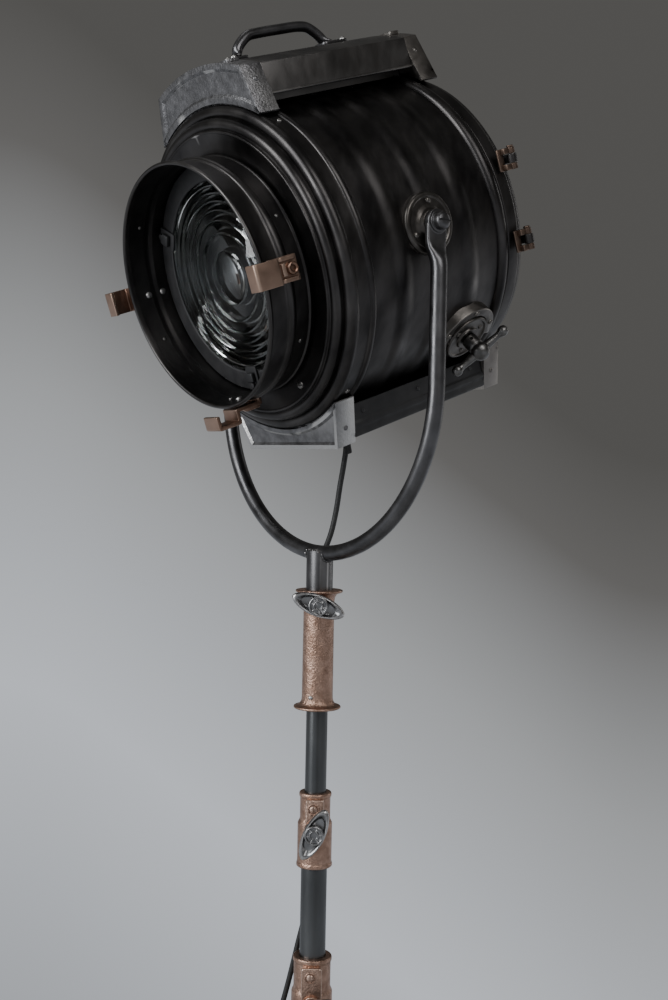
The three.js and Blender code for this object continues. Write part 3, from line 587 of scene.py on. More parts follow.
# ---------- the lead ----------
def lead_points():
    """The lead's route below the gland, from the tilt axis, in millimetres."""
    in_mast = MAST.inverted() @ DRUM
    start = in_mast @ Vector((0, GLAND_Y, -190))
    head = [tuple(start), (0, 27.9, -195.4), (0, 31.2, -204.8), (0, 32.6, -214.5), (-1.5, 31, -234),
            (-4, 28.6, -256), (-7, 26.3, -283), (-11.5, 23.2, -308), (-17, 19.5, -326),
            (-20.8, 16.9, -338), (-21.3, 16.6, -345.8)]
    pan = [(-21.3, 16.6, -346.2), (-22.3, 17.4, -356), (-23.2, 18.1, -366), (-23.2, 18.1, -400),
           (-23.2, 18.1, -440), (-23.2, 18.1, -479.8)]
    mast = [(-23.2, 18.1, -480.2), (-23.2, 18.1, -500), (-22.6, 17.6, -540), (-21.6, 16.9, -590),
            (-21.3, 16.6, -620), (-21.3, 16.6, -639.8)]
    floor = [(-21.3, 16.6, -640.2), (-21.6, 16.2, -662), (-22.5, 13, -692), (-24.6, 7.6, -726),
             (-27.3, 0.6, -757), (-31.4, -8, -798), (-42, -26, -880), (-55, -47, -1000), (-68, -67, -1150),
             (-82, -84, -1300), (-97, -100.5, -1440), (-114, -119, -1545), (-136, -145, -1620),
             (-164, -178, -1668), (-198, -220, -1689), (-230, -262, -1695.4), (-250, -286, -1696.4),
             (-263, -298, -1696.4), (-276, -306, -1696.4)]
    return head, pan, mast, floor


LEAD_RADIUS = 3.0
COIL_AT = Vector((-316.4, -282.3, -1700))
PLUG_AT = Vector((-40.2, 69.3, 19.5))


def coil_points():
    """Six turns and a bit, wound clockwise in two layers of three and out along the top to the plug."""
    pitch, inner_radius = 2 * LEAD_RADIUS + 0.4, 27.2
    enter = math.atan2(-0.877, 0.48)
    rows = [(0, 2), (0, 1), (0, 0), (1, 0), (1, 1), (1, 2), (2, 2)]
    points = []
    per_turn, tail_steps = 28, 9
    turns = len(rows) - 1
    total = per_turn * turns + tail_steps
    for k in range(total + 1):
        t = k / per_turn
        i = min(int(t), turns)
        change = eased((t - i - 0.6) / 0.4) if i < turns else 0.0
        here, then = rows[i], rows[min(i + 1, turns)]
        layer = here[0] + (then[0] - here[0]) * change
        ring = here[1] + (then[1] - here[1]) * change
        angle = enter - 2 * math.pi * t
        radius = inner_radius + pitch * ring
        points.append(COIL_AT + Vector((radius * math.cos(angle), radius * math.sin(angle),
                                        LEAD_RADIUS + 0.6 + (2 * LEAD_RADIUS) * layer)))
    return points


def tube(points, radius):
    return sweep(points, lambda t: circle(radius, 12), side=Vector((0.3, 1, 0.2)))


def lead_piece(name, points, nodes):
    thing = raw_object(name, [tube(points, LEAD_RADIUS)], MAST)
    shade(thing, 60)
    thing.data.materials.append(LEAD_RUBBER)
    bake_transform(thing)
    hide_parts(*nodes)


def add_plug():
    face = COIL_AT + PLUG_AT
    body = lathe([(0, 0), (18, 0, 1.5), (19.5, 4, 2), (19.5, 20, 5), (13, 27, 5), (8.5, 33, 2),
                  (6.2, 40, 1), (0, 40)], "y", 64)
    shells = [body]
    for k in range(12):
        groove = rod(0.6, 6, 18, "y", 0.25, 8)
        a = 2 * math.pi * k / 12
        shells.append(shifted(groove, 18.85 * math.cos(a), 0, 18.85 * math.sin(a)))
    place = MAST @ Matrix.Translation(face) @ Matrix.Rotation(math.pi, 4, "Z")
    plug = piece("plug", shells, place, LEAD_RUBBER, "base", ["lead_plug"])
    prongs = [shifted(rod(2.4, -18, 4, "y", 1.2, 24), x, 0, 0) for x in (-9.5, 9.5)]
    pins = piece("plug_pins", prongs, place, FASTENER, "base")
    return plug, pins


def add_lead():
    head, pan, mast, floor = lead_points()
    plug, pins = add_plug()
    head_path = smooth_path(head, 44)
    lead_piece("lead_to_yoke", head_path, ["lead_head"])
    lead_piece("lead_at_receiver", smooth_path(pan, 20), ["lead_pan"])
    lead_piece("lead_along_mast", smooth_path(mast, 20), ["lead_mast"])
    coil = coil_points()
    tail = COIL_AT + PLUG_AT + Vector((0, -40, 0))
    last = coil[-1]
    onward = (coil[-1] - coil[-2]).normalized()
    rise = [last + onward * 8 + Vector((0, 0, 0.6)), tail + Vector((0, -9, -0.7)), tail + Vector((0, 2, 0))]
    whole = smooth_path(floor, 150)[:-1] + [Vector(floor[-1])] + resample(coil, 300)[1:]
    whole = whole + smooth_path([last - onward * 6, last] + rise, 14)[5:]
    lead_piece("lead_to_plug", whole, ["lead_floor", "lead_coil"])


add_lead()


# ---------- shared small parts ----------
def cut_shell(shell, *cutters):
    blank = raw_object("blank", [shell], Matrix())
    carve(blank, cutters, Matrix())
    mesh = blank.data
    out = ([v.co.copy() for v in mesh.vertices], [list(p.vertices) for p in mesh.polygons])
    bpy.data.objects.remove(blank)
    return out


def aimed(shell, at, normal):
    """Turns a shell drawn along +Z so that it stands at a point and faces along normal."""
    turn = Vector((0, 0, 1)).rotation_difference(Vector(normal)).to_matrix().to_4x4()
    return moved(shell, Matrix.Translation(at) @ turn)


def domed_head(radius, height):
    profile = [(0, -0.8), (radius, -0.8), (radius, 0.16 * height), (0.93 * radius, 0.45 * height),
               (0.75 * radius, 0.74 * height), (0.45 * radius, 0.94 * height), (0, height)]
    return revolve(profile, "z", closed=False, turns=32)


def slotted_head(radius, height):
    slot = slab(-radius - 1, radius + 1, -0.16 * radius, 0.16 * radius, 0.45 * height, height + 1, 0)
    return cut_shell(domed_head(radius, height), slot)


def hex_head(radius, height):
    return prism(circle(radius, 6), -0.8, height, "z", 0.5)


def around_y(radius, angle, y):
    """A point on the drum, with its angle from +X toward +Z, and the way out of it."""
    a = math.radians(angle)
    out = Vector((math.cos(a), 0, math.sin(a)))
    return out * radius + Vector((0, y, 0)), out


def bead(centre, reach, start, step, count):
    """Points of a rolled bead, by its centre, its two half widths and its angles in degrees."""
    angles = [math.radians(start + step * k) for k in range(count)]
    return [(centre[0] + reach[0] * math.cos(a), centre[1] + reach[1] * math.sin(a)) for a in angles]


def arc(radius, start, end, steps):
    return [(radius * math.cos(start + (end - start) * k / steps),
             radius * math.sin(start + (end - start) * k / steps)) for k in range(steps + 1)]


def inset(outline, depth):
    """The outline moved inward by depth."""
    area = sum(a[0] * b[1] - b[0] * a[1] for a, b in zip(outline, outline[1:] + outline[:1]))
    turn = 1 if area > 0 else -1
    out = []
    for i, point in enumerate(outline):
        here = Vector(point)
        before = (here - Vector(outline[i - 1])).normalized()
        after = (Vector(outline[(i + 1) % len(outline)]) - here).normalized()
        first = Vector((-before.y, before.x)) * turn
        second = Vector((-after.y, after.x)) * turn
        out.append(tuple(here + (first + second) * depth / (1 + first.dot(second))))
    return out


BARREL_CLEAR = rod(159.7, -100, 100, "y", 0, 180)


# ---------- drum ----------
REAR_BEAD = 97.9
RIB_MIDDLES = (-38.3, 7.1, 52.5)
RIB_HEIGHT = 1.6


def add_drum():
    profile = [(160, -83, 0.5)]
    for middle in RIB_MIDDLES:
        for k in range(-12, 13):
            profile.append((160 + RIB_HEIGHT * math.cos(math.pi * k / 24) ** 1.8, middle + k * 13 / 12))
    profile += bead((160, REAR_BEAD), (5.5, 6.4), -88, 16, 12)
    profile += [(158.9, 105.0, 0.3), (158.9, 107.2, 0.3), (160.4, 108.2, 0.6), (160.4, 121.5, 1),
                (159, 124.6, 1), (157.2, 124.6, 0.4), (157.8, 100), (158, -83, 0.5)]
    slots = []
    for y in (-45, 5, 55):
        slots.append(slab(-50, 50, y - 12, y + 12, 140, 170, 0))
        slots.append(slab(-50, 50, y - 12, y + 12, -170, -140, 0))
    shaft_hole = turned(rod(7, 140, 175, "x", 0.3), math.degrees(focus_angle), "y")
    slots.append(shifted(shaft_hole, 0, focus_y, 0))
    piece("barrel", [hoop(profile, "y", 180)], DRUM, DRUM_STEEL, "head", ["barrel_shell"],
          cuts=slots, angle=28)

    cover = [(119.3, -120.2, 0.4), (126, -121.2), (139.4, -121.9), (141.2, -122.9, 0.7),
             (143.0, -122.6, 0.6), (143.6, -120.6, 0.3)]
    cover += bead((147.5, -114.6), (6.2, -6.2), 122, -12.6, 10) + [(153.3, -113.0, 0.2)]
    cover += bead((157.9, -105.6), (6.9, -6.9), 128, -14.6, 11) + [(163.2, -101.4, 0.5), (163.2, -89.4, 1)]
    cover += bead((162.7, -83.7), (2.9, 4.0), -76, 15.2, 11)
    cover += [(160.4, -79.5, 0.3), (160.4, -101, 2), (151, -112.6), (143, -117.6, 2), (119.3, -118.2, 0.3)]
    piece("drum_cover", [hoop(cover, "y", 180)], DRUM, DRUM_STEEL, "head", ["front_cover"],
          angle=28)

    tube_wall = [(119, -113, 0.6), (119, -121, 0.4), (120.5, -122.4, 0.5), (120.7, -124.2, 0.5),
                 (119.2, -125.6, 0.6), (119.4, -141.4, 1)]
    tube_wall += bead((120.0, -147), (2.6, 4.4), 78, -15.6, 11) + [(120, -152.8, 1), (120.8, -170.6, 1)]
    tube_wall += bead((121.6, -173.9), (2.1, 2.1), 60, -24, 11)
    tube_wall += [(118.8, -170, 1), (118.2, -152, 1), (119.6, -147, 1.5), (117.8, -142, 1),
                  (117, -124, 0.5), (117, -117.5, 0.5), (97, -117.5, 0.6), (97, -113, 0.6)]
    piece("snout", [hoop(tube_wall, "y", 180)], DRUM, DRUM_STEEL, "head", ["lens_tube"],
          angle=28)

    heads = []
    small = slotted_head(2.6, 1.5)
    for angle, radius in ((-62, 131.5), (-118, 131.5)):
        at, _ = around_y(radius, angle, -121.3)
        heads.append(aimed(slotted_head(4.1, 2.8), at, (0, -1, 0)))
    for angle in (54, 126, 234, 306):
        at, out = around_y(163.3, angle, -93.5)
        heads.append(aimed(small, at, out))
    for angle in (128, 232):
        at, out = around_y(160.2, angle, 113)
        heads.append(aimed(small, at, out))
    for angle in (24, 144, 204, 264, 324):
        at, out = around_y(119.3, angle, -134)
        heads.append(aimed(domed_head(1.9, 1.1), at, out))
        at, out = around_y(117.9, angle, -158)
        heads.append(aimed(domed_head(1.9, 1.1), at, -out))
    piece("drum_screws", heads, DRUM, DARK_FASTENER, "head")


# ---------- lens ----------
def add_lens():
    back, edge = -119.0, -125.4
    profile = [(0, back), (101.6, back), (101.6, edge), (98.2, edge)]
    centre_area, ring_area = 756, 1255
    radii = [math.sqrt(centre_area + ring_area * k) for k in range(8)]
    outer = 98.2
    for inner in reversed(radii):
        for k in range(1, 9):
            t = k / 8
            r = outer + (inner - outer) * t
            fall = (outer * outer - r * r) / (outer * outer - inner * inner)
            profile.append((r, edge - 0.4 - 5.2 * fall))
        profile.append((inner - 0.3, edge - 0.3))
        outer = inner - 0.3
    for k in range(1, 10):
        r = outer * (1 - k / 9)
        profile.append((r, -133 + (133 + edge - 0.3) * (r / outer) ** 2))
    shell = revolve(profile, "y", closed=False, turns=160)
    lens = piece("fresnel_glass", [shell], DRUM, LENS_GLASS, "head", ["fresnel_lens"],
                 angle=24)
    lens.data.materials.append(LENS_BACK)
    back_at = (DRUM @ Vector((0, back + 0.3, 0)))
    axis = (DRUM.to_3x3() @ Vector((0, 1, 0))).normalized()
    for face in lens.data.polygons:
        if (face.center - back_at).dot(axis) > 0:
            face.material_index = 1

    parts = [hoop([(97, -129.2, 0.3), (115.8, -129.2, 0.3), (115.8, -130.6, 0.5), (98.6, -131.3, 0.4),
                   (97, -130.8, 0.4)], "y", 128)]
    for angle in (-90, 30, 150):
        tab = prism(soften([(91, -9, 2), (115, -9, 1), (115, 9, 1), (91, 9, 2)]), -1.2, 1.2, "z", 0.4)
        tab = shifted(turned(tab, 90, "x"), 0, -132.6, 0)
        screw = aimed(hex_head(3.4, 3.2), (110.6, -133.8, 0), (0, -1, 0))
        block = slab(97, 107, -138.5, -133.5, -6, 6, 1.4)
        parts += [turned(shell, -angle, "y") for shell in (tab, screw, block)]
    piece("lens_clamps", parts, DRUM, BLACK_PAINT, "head", ["lens_retainer"])


# ---------- duct castings, vent cover, channel, handle ----------
def sector(top_half, top_z, low_half, low_z, arched):
    start = math.atan2(low_z, low_half)
    inner = arc(166.2, math.pi - start, start, 40)
    if arched:
        side = math.atan2(top_z, top_half)
        crown = arc(math.hypot(top_half, top_z), side, math.pi - side, 30)
    else:
        crown = [(top_half, top_z), (-top_half, top_z)]
    return [(low_half + 1, low_z + 1)] + crown + [(-low_half - 1, low_z + 1)] + inner


def panelled(outline, y0, y1, face, border, depth):
    """A slab whose face at y0 (face -1) or y1 (face 1) is sunk inside a border."""
    front, back = (y0, y1) if face < 0 else (y1, y0)
    sunk = front - face * depth
    hollow = inset(outline, border)
    floor = inset(outline, border + 2.6)
    count = len(outline)
    verts = [(x, back, z) for x, z in outline] + [(x, front, z) for x, z in outline]
    verts += [(x, front, z) for x, z in hollow] + [(x, sunk, z) for x, z in floor]
    faces = [tuple(range(count)), tuple(range(4 * count - 1, 3 * count - 1, -1))]
    for ring in range(3):
        faces += band(ring, count)
    return rounded((verts, faces), 1.5, angle=30, segments=3)


def add_castings():
    front, depth = -108, 24
    back, back_depth = REAR_BEAD + 6.5, 22
    rows = (
        ("front_top", sector(75, 189, 87, 142, True), front, front + depth, -1, 5.5, 0),
        ("rear_top", sector(70, 190, 87, 142, True), back, back + back_depth, 1, 5.5, 0),
        ("front_bottom", sector(77, 187.3, 91, 139, False), front, front + depth, -1, 4.2, 180),
        ("rear_bottom", sector(77, 187.3, 91, 139, False), back, back + back_depth, 1, 4.2, 180),
    )
    for name, outline, y0, y1, face, border, turn in rows:
        shells = [panelled(outline, y0, y1, face, border, 2.0)]
        top_half = 77 if turn else (75 if face < 0 else 70)
        low_half = 91 if turn else 87
        top_z = 187.3 if turn else 189
        low_z = 139 if turn else 142
        side_normal = Vector((top_z - low_z, 0, low_half - top_half)).normalized()
        for sign in (1, -1):
            t = 0.62 if turn else 0.7
            at = Vector((sign * (low_half + 1 + (top_half - low_half - 1) * t), (y0 + y1) / 2,
                         low_z + (top_z - low_z) * t))
            normal = Vector((sign * side_normal.x, 0, side_normal.z))
            shells.append(aimed(domed_head(2.7, 1.7), at - normal * 0.1, normal))
        if not turn:
            lug = slab(-9, 9, y0 + 5, y1 - 4, 200, 204.6, 1.4)
            shells += [shifted(lug, x, 0, -4.4) for x in (-42, 42)]
        shells = [turned(shell, turn, "y") for shell in shells]
        # the rear castings take the darker dressed_casting material as painted shade; the front ones keep the
        # lighter sand casting
        front_or_shaded_rear = DARK_CASTING if face < 0 else SMOOTH_CASTING
        piece(name + "_end_casting", shells, DRUM, front_or_shaded_rear, "head",
              [name + "_casting"], angle=30)

    y0, y1 = front + depth + 0.3, back - 0.3
    angle = math.acos(76 / 203)
    outer = arc(203, angle, math.pi - angle, 40)
    inner = arc(201, math.pi - angle - 0.012, angle + 0.012, 40)
    roof = soften([(78, 159)] + outer + [(-78, 159), (-76, 159)] + inner + [(76, 159)])
    shells = [prism(roof, y0, y1, "y", 0.4)]
    for sign in (1, -1):
        hem = sweep([Vector((sign * 77, y, 159.6)) for y in (y0 + 0.2, y0 + 60, y1 - 60, y1 - 0.2)],
                    lambda t: circle(1.5, 16), side=Vector((1, 0, 0)))
        shells.append(hem)
        shells.append(slab(sign * 56 - 1, sign * 56 + 1, y0, y1, 154, 194.2, 0.3))
    piece("vent_roof", shells, DRUM, DRUM_STEEL, "head", ["vent_cover"], angle=30)

    side, floor_z = 80, -183
    wall = soften([(-side, -150, 0.3), (-side, -166.5, 1), (-side - 1.6, -168.5, 1), (-side - 1.6, -173, 1),
                   (-side, -175, 1), (-side, floor_z, 3), (side, floor_z, 3), (side, -175, 1),
                   (side + 1.6, -173, 1), (side + 1.6, -168.5, 1), (side, -166.5, 1), (side, -150, 0.3),
                   (side - 2, -150, 0.3), (side - 2, floor_z + 2, 1.5), (-side + 2, floor_z + 2, 1.5),
                   (-side + 2, -150, 0.3)])
    gland_hole = shifted(rod(5.6, floor_z - 6, floor_z + 6, "z", 0.2), 0, GLAND_Y, 0)
    shell = cut_shell(prism(wall, y0, y1, "y", 0.3), gland_hole)
    shells = [shell] + [slab(sign * 56 - 1, sign * 56 + 1, y0, y1, -182, -154, 0.3) for sign in (1, -1)]
    for sign in (1, -1):
        for y in (y0 + 16, (y0 + y1) / 2, y1 - 16):
            shells.append(aimed(domed_head(2.6, 1.5), (sign * side, y, -159), (sign, 0, 0)))
    piece("wiring_duct", shells, DRUM, BLACK_PAINT, "head", ["wiring_channel"], angle=30)

    collar = hoop([(4.3, floor_z - 9, 0.6), (7.2, floor_z - 9, 1), (8.5, floor_z - 6, 0.6),
                   (8.5, floor_z - 0.3, 0.5), (5.3, floor_z - 0.3, 0.2), (5.3, floor_z + 6, 0.5),
                   (4.3, floor_z + 6, 0.5)], turns=48)
    gland = [shifted(collar, 0, GLAND_Y, 0)]
    for k in range(6):
        a = math.pi / 3 * k
        flat = slab(-3.2, 3.2, 7.6, 9.0, floor_z - 5.4, floor_z - 0.6, 0.4)
        gland.append(shifted(turned(flat, math.degrees(a), "z"), 0, GLAND_Y, 0))
    piece("gland_nut", gland, DRUM, FASTENER, "head", ["lead_gland"])
    relief = hoop([(3.15, floor_z - 32, 0.3), (3.7, floor_z - 31, 0.5), (4.9, floor_z - 12, 0.8),
                   (5.6, floor_z - 8.6, 0.3), (3.15, floor_z - 8.6, 0.2)], turns=32)
    piece("lead_boot", [shifted(relief, 0, GLAND_Y, 0)], DRUM, LEAD_RUBBER, "head")

    low, high = 206.5, 226.7
    rail = smooth_path([(0, -56, low + 0.4), (0, -52.5, low + 2.2), (0, -49.6, low + 8),
                        (0, -42, high - 5.6), (0, -33, high - 1), (0, -20, high), (0, 6, high + 0.3),
                        (0, 32, high), (0, 43, high - 2), (0, 52, high - 8), (0, 57.5, low + 7),
                        (0, 61.5, low + 2), (0, 66, low + 0.4)], 72)

    def rail_section(t):
        flat = eased(1 - min(t, 1 - t) / 0.07)
        return [((5.3 + 3.8 * flat) * a, (5.3 - 3.2 * flat) * b) for a, b in circle(1, 24)]

    handle = [sweep(rail, rail_section, side=Vector((1, 0, 0)))]
    for y_from, y_to in ((-66, -44), (55, 88)):
        pad = soften([(-9.5, y_from, 5), (9.5, y_from, 5), (9.5, y_to, 5), (-9.5, y_to, 5)])
        handle.append(prism(pad, 203.3, 206.6, "z", 0.8))
    piece("top_handle", handle, DRUM, YOKE_STEEL, "head", ["carry_handle"])
    heads = [aimed(slotted_head(3.6, 2.4), (x, y, 206.4), (0, 0, 1)) for x in (-5.4, 5.4)
             for y in (-61, 83)]
    piece("handle_screws", heads, DRUM, FASTENER, "head")


# ---------- pivots ----------
def pivot_boss():
    profile = lathe([(0, 150), (29.5, 150, 0.5), (30.5, 153, 0.5), (30.5, 163.4, 1.4), (29, 165.4, 1.2),
                     (25.6, 165.8, 1), (24.8, 164.9, 0.8), (18.5, 165.0, 1.5), (14.2, 166.6, 2),
                     (12.6, 169, 0.8), (11.6, 169.8, 0.5), (0, 169.8)], "x", 96)
    shells = [cut_shell(shifted(profile, 0, 0, pivot_above_axis), BARREL_CLEAR)]
    for angle in (80, 200, 320):
        a = math.radians(angle)
        at = (164.9, 21.6 * math.cos(a), pivot_above_axis + 21.6 * math.sin(a))
        shells.append(aimed(domed_head(2.9, 1.9), at, (1, 0, 0)))
    return shells


def add_pivots():
    shells = pivot_boss()
    piece("pivot_plate_right", shells, DRUM, SMOOTH_CASTING, "head", ["pivot_boss_right"])
    stud = shifted(rod(4.6, 166, 191.6, "x", 1), 0, 0, pivot_above_axis)
    left = [turned(shell, 180, "z") for shell in shells + [stud]]
    piece("pivot_plate_left", left, DRUM, SMOOTH_CASTING, "head", ["pivot_boss_left"])


# ---------- colour frame clips ----------
def add_clips():
    lip, floor_r = 126.5, 137.5
    strap = [(120.6, -142.5, 0.6), (120.6, -138, 0.8), (129, -138, 2), (129, -167, 1.2), (141.5, -167, 3.2),
             (141.5, -195.5, 3.2), (lip, -195.5, 1.2), (lip, -191.5, 1.2), (floor_r, -191.5, 1.6),
             (floor_r, -171, 1.6), (125, -171, 2.6), (125, -142.5, 0.6)]
    shell = prism(soften(strap, steps=6), -12.25, 12.25, "z", 0.9)
    parts = [shell]
    for sign in (1, -1):
        rib = prism(soften([(128.4, -140, 1), (131.6, -141.6, 1.6), (131.6, -159, 2), (128.4, -162, 1)]),
                    sign * 9.9 - 1.7, sign * 9.9 + 1.7, "z", 0.7)
        parts.append(rib)
    ring = hoop([(2.6, 128.4, 0.2), (6.4, 128.4, 0.4), (6.1, 132.4, 0.9), (4.6, 133.2, 0.6),
                 (2.6, 132.2, 0.5)], "x", 40)
    parts.append(shifted(ring, 0, -146.5, 0))
    parts.append(shifted(rod(2.8, 124, 131.0, "x", 0.8, 24), 0, -146.5, 0))
    parts.append(slab(128.2, 130.4, -158, -153, -6, 6, 0.6))
    for side, angle in (("right", 0), ("bottom", 90), ("left", 180)):
        shells = [turned(part, angle, "y") for part in parts]
        piece("slide_clip_" + side, shells, DRUM, CLIP_BRONZE, "head", ["frame_clip_" + side])
    inner_heads = []
    for angle in (0, 90, 180):
        bolts = [aimed(domed_head(3.4, 1.9), (117.9, y, 0), (-1, 0, 0)) for y in (-138.5, -156)]
        inner_heads += [turned(bolt, angle, "y") for bolt in bolts]
    piece("clip_bolts", inner_heads, DRUM, FASTENER, "head")


# ---------- focus drive ----------
PINION_TEETH = 16


def add_focus():
    boss = hoop([(7.2, 150, 0.3), (26.2, 150, 0.3), (26.5, 152, 0.5), (26.5, 169, 1), (25.6, 170, 0.5),
                 (23.4, 170, 0.8), (22.6, 168.4, 0.8), (13.4, 168.2, 0.8), (12.6, 170.6, 0.8),
                 (8, 170.6, 0.5), (7.2, 170, 0.3)], "x", 96)
    parts = [cut_shell(boss, BARREL_CLEAR)]
    for angle in (30, 150, 270):
        a = math.radians(angle)
        parts.append(aimed(slotted_head(2.4, 1.5), (168.3, 18 * math.cos(a), 18 * math.sin(a)), (1, 0, 0)))
    piece("focus_plate", parts, FOCUS, SMOOTH_CASTING, "head", ["focus_boss"])

    low = math.asin(-6 / 32)
    outline = arc(37, low, math.pi - low, 48) + arc(26.9, math.pi - low, low, 40)
    hood = cut_shell(prism(outline, 150, 168, "x", 1.4), BARREL_CLEAR)
    rivets = [aimed(domed_head(3, 2), (167.8, 32 * math.cos(a), 32 * math.sin(a)), (1, 0, 0))
              for a in (math.radians(20), math.radians(90), math.radians(160))]
    piece("focus_cowl", [hood] + rivets, FOCUS, SMOOTH_CASTING, "head", ["focus_hood"])

    hub = 190
    core = lathe([(0, 128), (4.5, 128, 0.6), (4.5, 172, 0.3), (8.5, 172, 0.9), (8.5, 183.5, 0.8),
                  (7.4, 184.6, 0.8), (8.2, 186, 1), (10.3, 188.4, 1.6), (10.5, 191.4, 2), (8.4, 196.4, 2.4),
                  (4.6, 199.4, 1.6), (0, 200)], "x", 64)
    holes = [shifted(turned(rod(1.9, -12, 12, "z", 0), 30, "x"), 176.6, 0, 0)]
    core = cut_shell(core, *holes)
    arm = lathe([(0, 0), (5.2, 3, 0.5), (4.6, 10, 2), (3.5, 24, 3), (4.0, 26.4, 0.8), (5.6, 29.0, 1.6),
                 (5.8, 31.8, 1.6), (4.5, 35.2, 1.6), (1.8, 36.5, 0.8), (0, 36.5)], "y", 40)
    bar = [arm, turned(arm, 180, "x")]
    lean = math.degrees(math.atan2(0.622, 0.78))
    bar = [shifted(turned(shell, lean, "x"), hub, 0, 0) for shell in bar]
    teeth = []
    for k in range(PINION_TEETH):
        a = 2 * math.pi * k / PINION_TEETH
        teeth += [(7.7 * math.cos(a - 0.07), 7.7 * math.sin(a - 0.07)), (7.7 * math.cos(a + 0.07),
                7.7 * math.sin(a + 0.07)), (6.3 * math.cos(a + 0.15), 6.3 * math.sin(a + 0.15)),
                  (6.3 * math.cos(a + 0.24), 6.3 * math.sin(a + 0.24))]
    pinion = prism(teeth, 131, 141, "x", 0)
    piece("focus_crank", [core, pinion] + bar, FOCUS, DARK_FASTENER, "focus_handle",
          ["focus_handle"])


# ---------- lamp and its carriage ----------
def add_lamp():
    rail_x, rail_z, lamp_y = 62, -112, 12
    shells = [shifted(rod(4, -72, 112, "y", 0.6), x, 0, rail_z) for x in (-rail_x, rail_x)]
    for y in (-62, 102):
        shells.append(slab(-100, 100, y - 3, y + 3, rail_z - 9, rail_z + 9, 1.2))
        for x in (-rail_x, rail_x):
            shells.append(shifted(pipe(7.5, 4, y - 5, y + 5, "y", 0.6, 32), x, 0, rail_z))
    piece("guide_rails", shells, DRUM, BLACK_PAINT, "head", ["guide_frame"])

    deck = prism(soften([(-72, -20, 6), (72, -20, 6), (72, 50, 6), (-72, 50, 6)]), -99, -94, "z", 0.8)
    shells = [deck]
    for x in (-rail_x, rail_x):
        hole = shifted(rod(4.3, -30, 60, "y", 0.1, 32), x, 0, rail_z)
        shells.append(cut_shell(slab(x - 9, x + 9, -20, 50, rail_z - 9, -96, 1.2), hole))
    shells.append(slab(-9, 9, 44, 49.5, -95, -62, 0.8))
    shells.append(slab(62, 84, lamp_y + 7, lamp_y + 19, -99, -58, 1))
    into_drum = DRUM.inverted() @ FOCUS
    shells.append(moved(slab(104, 140, -36, -24, 8.3, 14, 0.8), into_drum))
    tooth_line = [(-40, 14), (40, 14)]
    pitch = 2 * math.pi * 7.2 / PINION_TEETH
    y = 40.0
    while y > -38:
        tooth_line += [(y, 9.9), (y - pitch * 0.3, 9.9), (y - pitch * 0.42, 8.3), (y - pitch * 0.62, 8.3)]
        y -= pitch
    tooth_line.append((-40, 9.9))
    shells.append(moved(prism(tooth_line, 132, 140, "x", 0), into_drum))
    shells.append(shifted(rod(5, -94.2, -93.4, "z", 0.2), 45, 30, 0))
    piece("carriage", shells, DRUM, BLACK_PAINT, "carriage", ["lamp_carriage"])

    cup = [(68 * math.sin(t), lamp_y + 68 * math.cos(t)) for t in (math.radians(58 * k / 24)
            for k in range(25))]
    cup += [(66 * math.sin(t), lamp_y + 66 * math.cos(t)) for t in (math.radians(58 * k / 24)
            for k in range(24, -1, -1))]
    piece("mirror", [revolve(cup, "y", closed=False, turns=96)], DRUM, MIRROR, "carriage",
          ["reflector"])
    base = lathe([(0, -93.7), (24, -93.7, 1), (24, -78.6, 2), (19.4, -74.6, 1), (19, -70, 0.6),
                  (18, -68.8, 0.6), (19, -67.6, 0.6), (19, -56, 1), (14.6, -56, 0.6), (14.6, -58, 0.4),
                  (0, -58)], turns=64)
    piece("socket", [shifted(base, 0, lamp_y, 0)], DRUM, PORCELAIN,
          "carriage", ["lamp_socket"])
    globe = soften([(0, -39.8), (12.4, -39.8, 0.6), (13, -37.6, 1.4), (17, -29, 4), (27.4, -15, 5),
                    (31, 0, 6), (28, 14, 5), (17, 26.2, 5), (0, 31)], closed=False, steps=6)
    piece("bulb", [shifted(revolve(globe, "z", closed=False, turns=64), 0, lamp_y, 0)], DRUM, BULB_GLASS,
          "carriage", ["lamp_bulb"])
    cap = lathe([(0, -57.6), (13.2, -57.6, 0.8), (13.2, -40.6, 1), (12.0, -39.9, 0.3), (0, -39.9)],
                turns=48)
    piece("bulb_cap", [shifted(cap, 0, lamp_y, 0)], DRUM, FASTENER, "carriage")


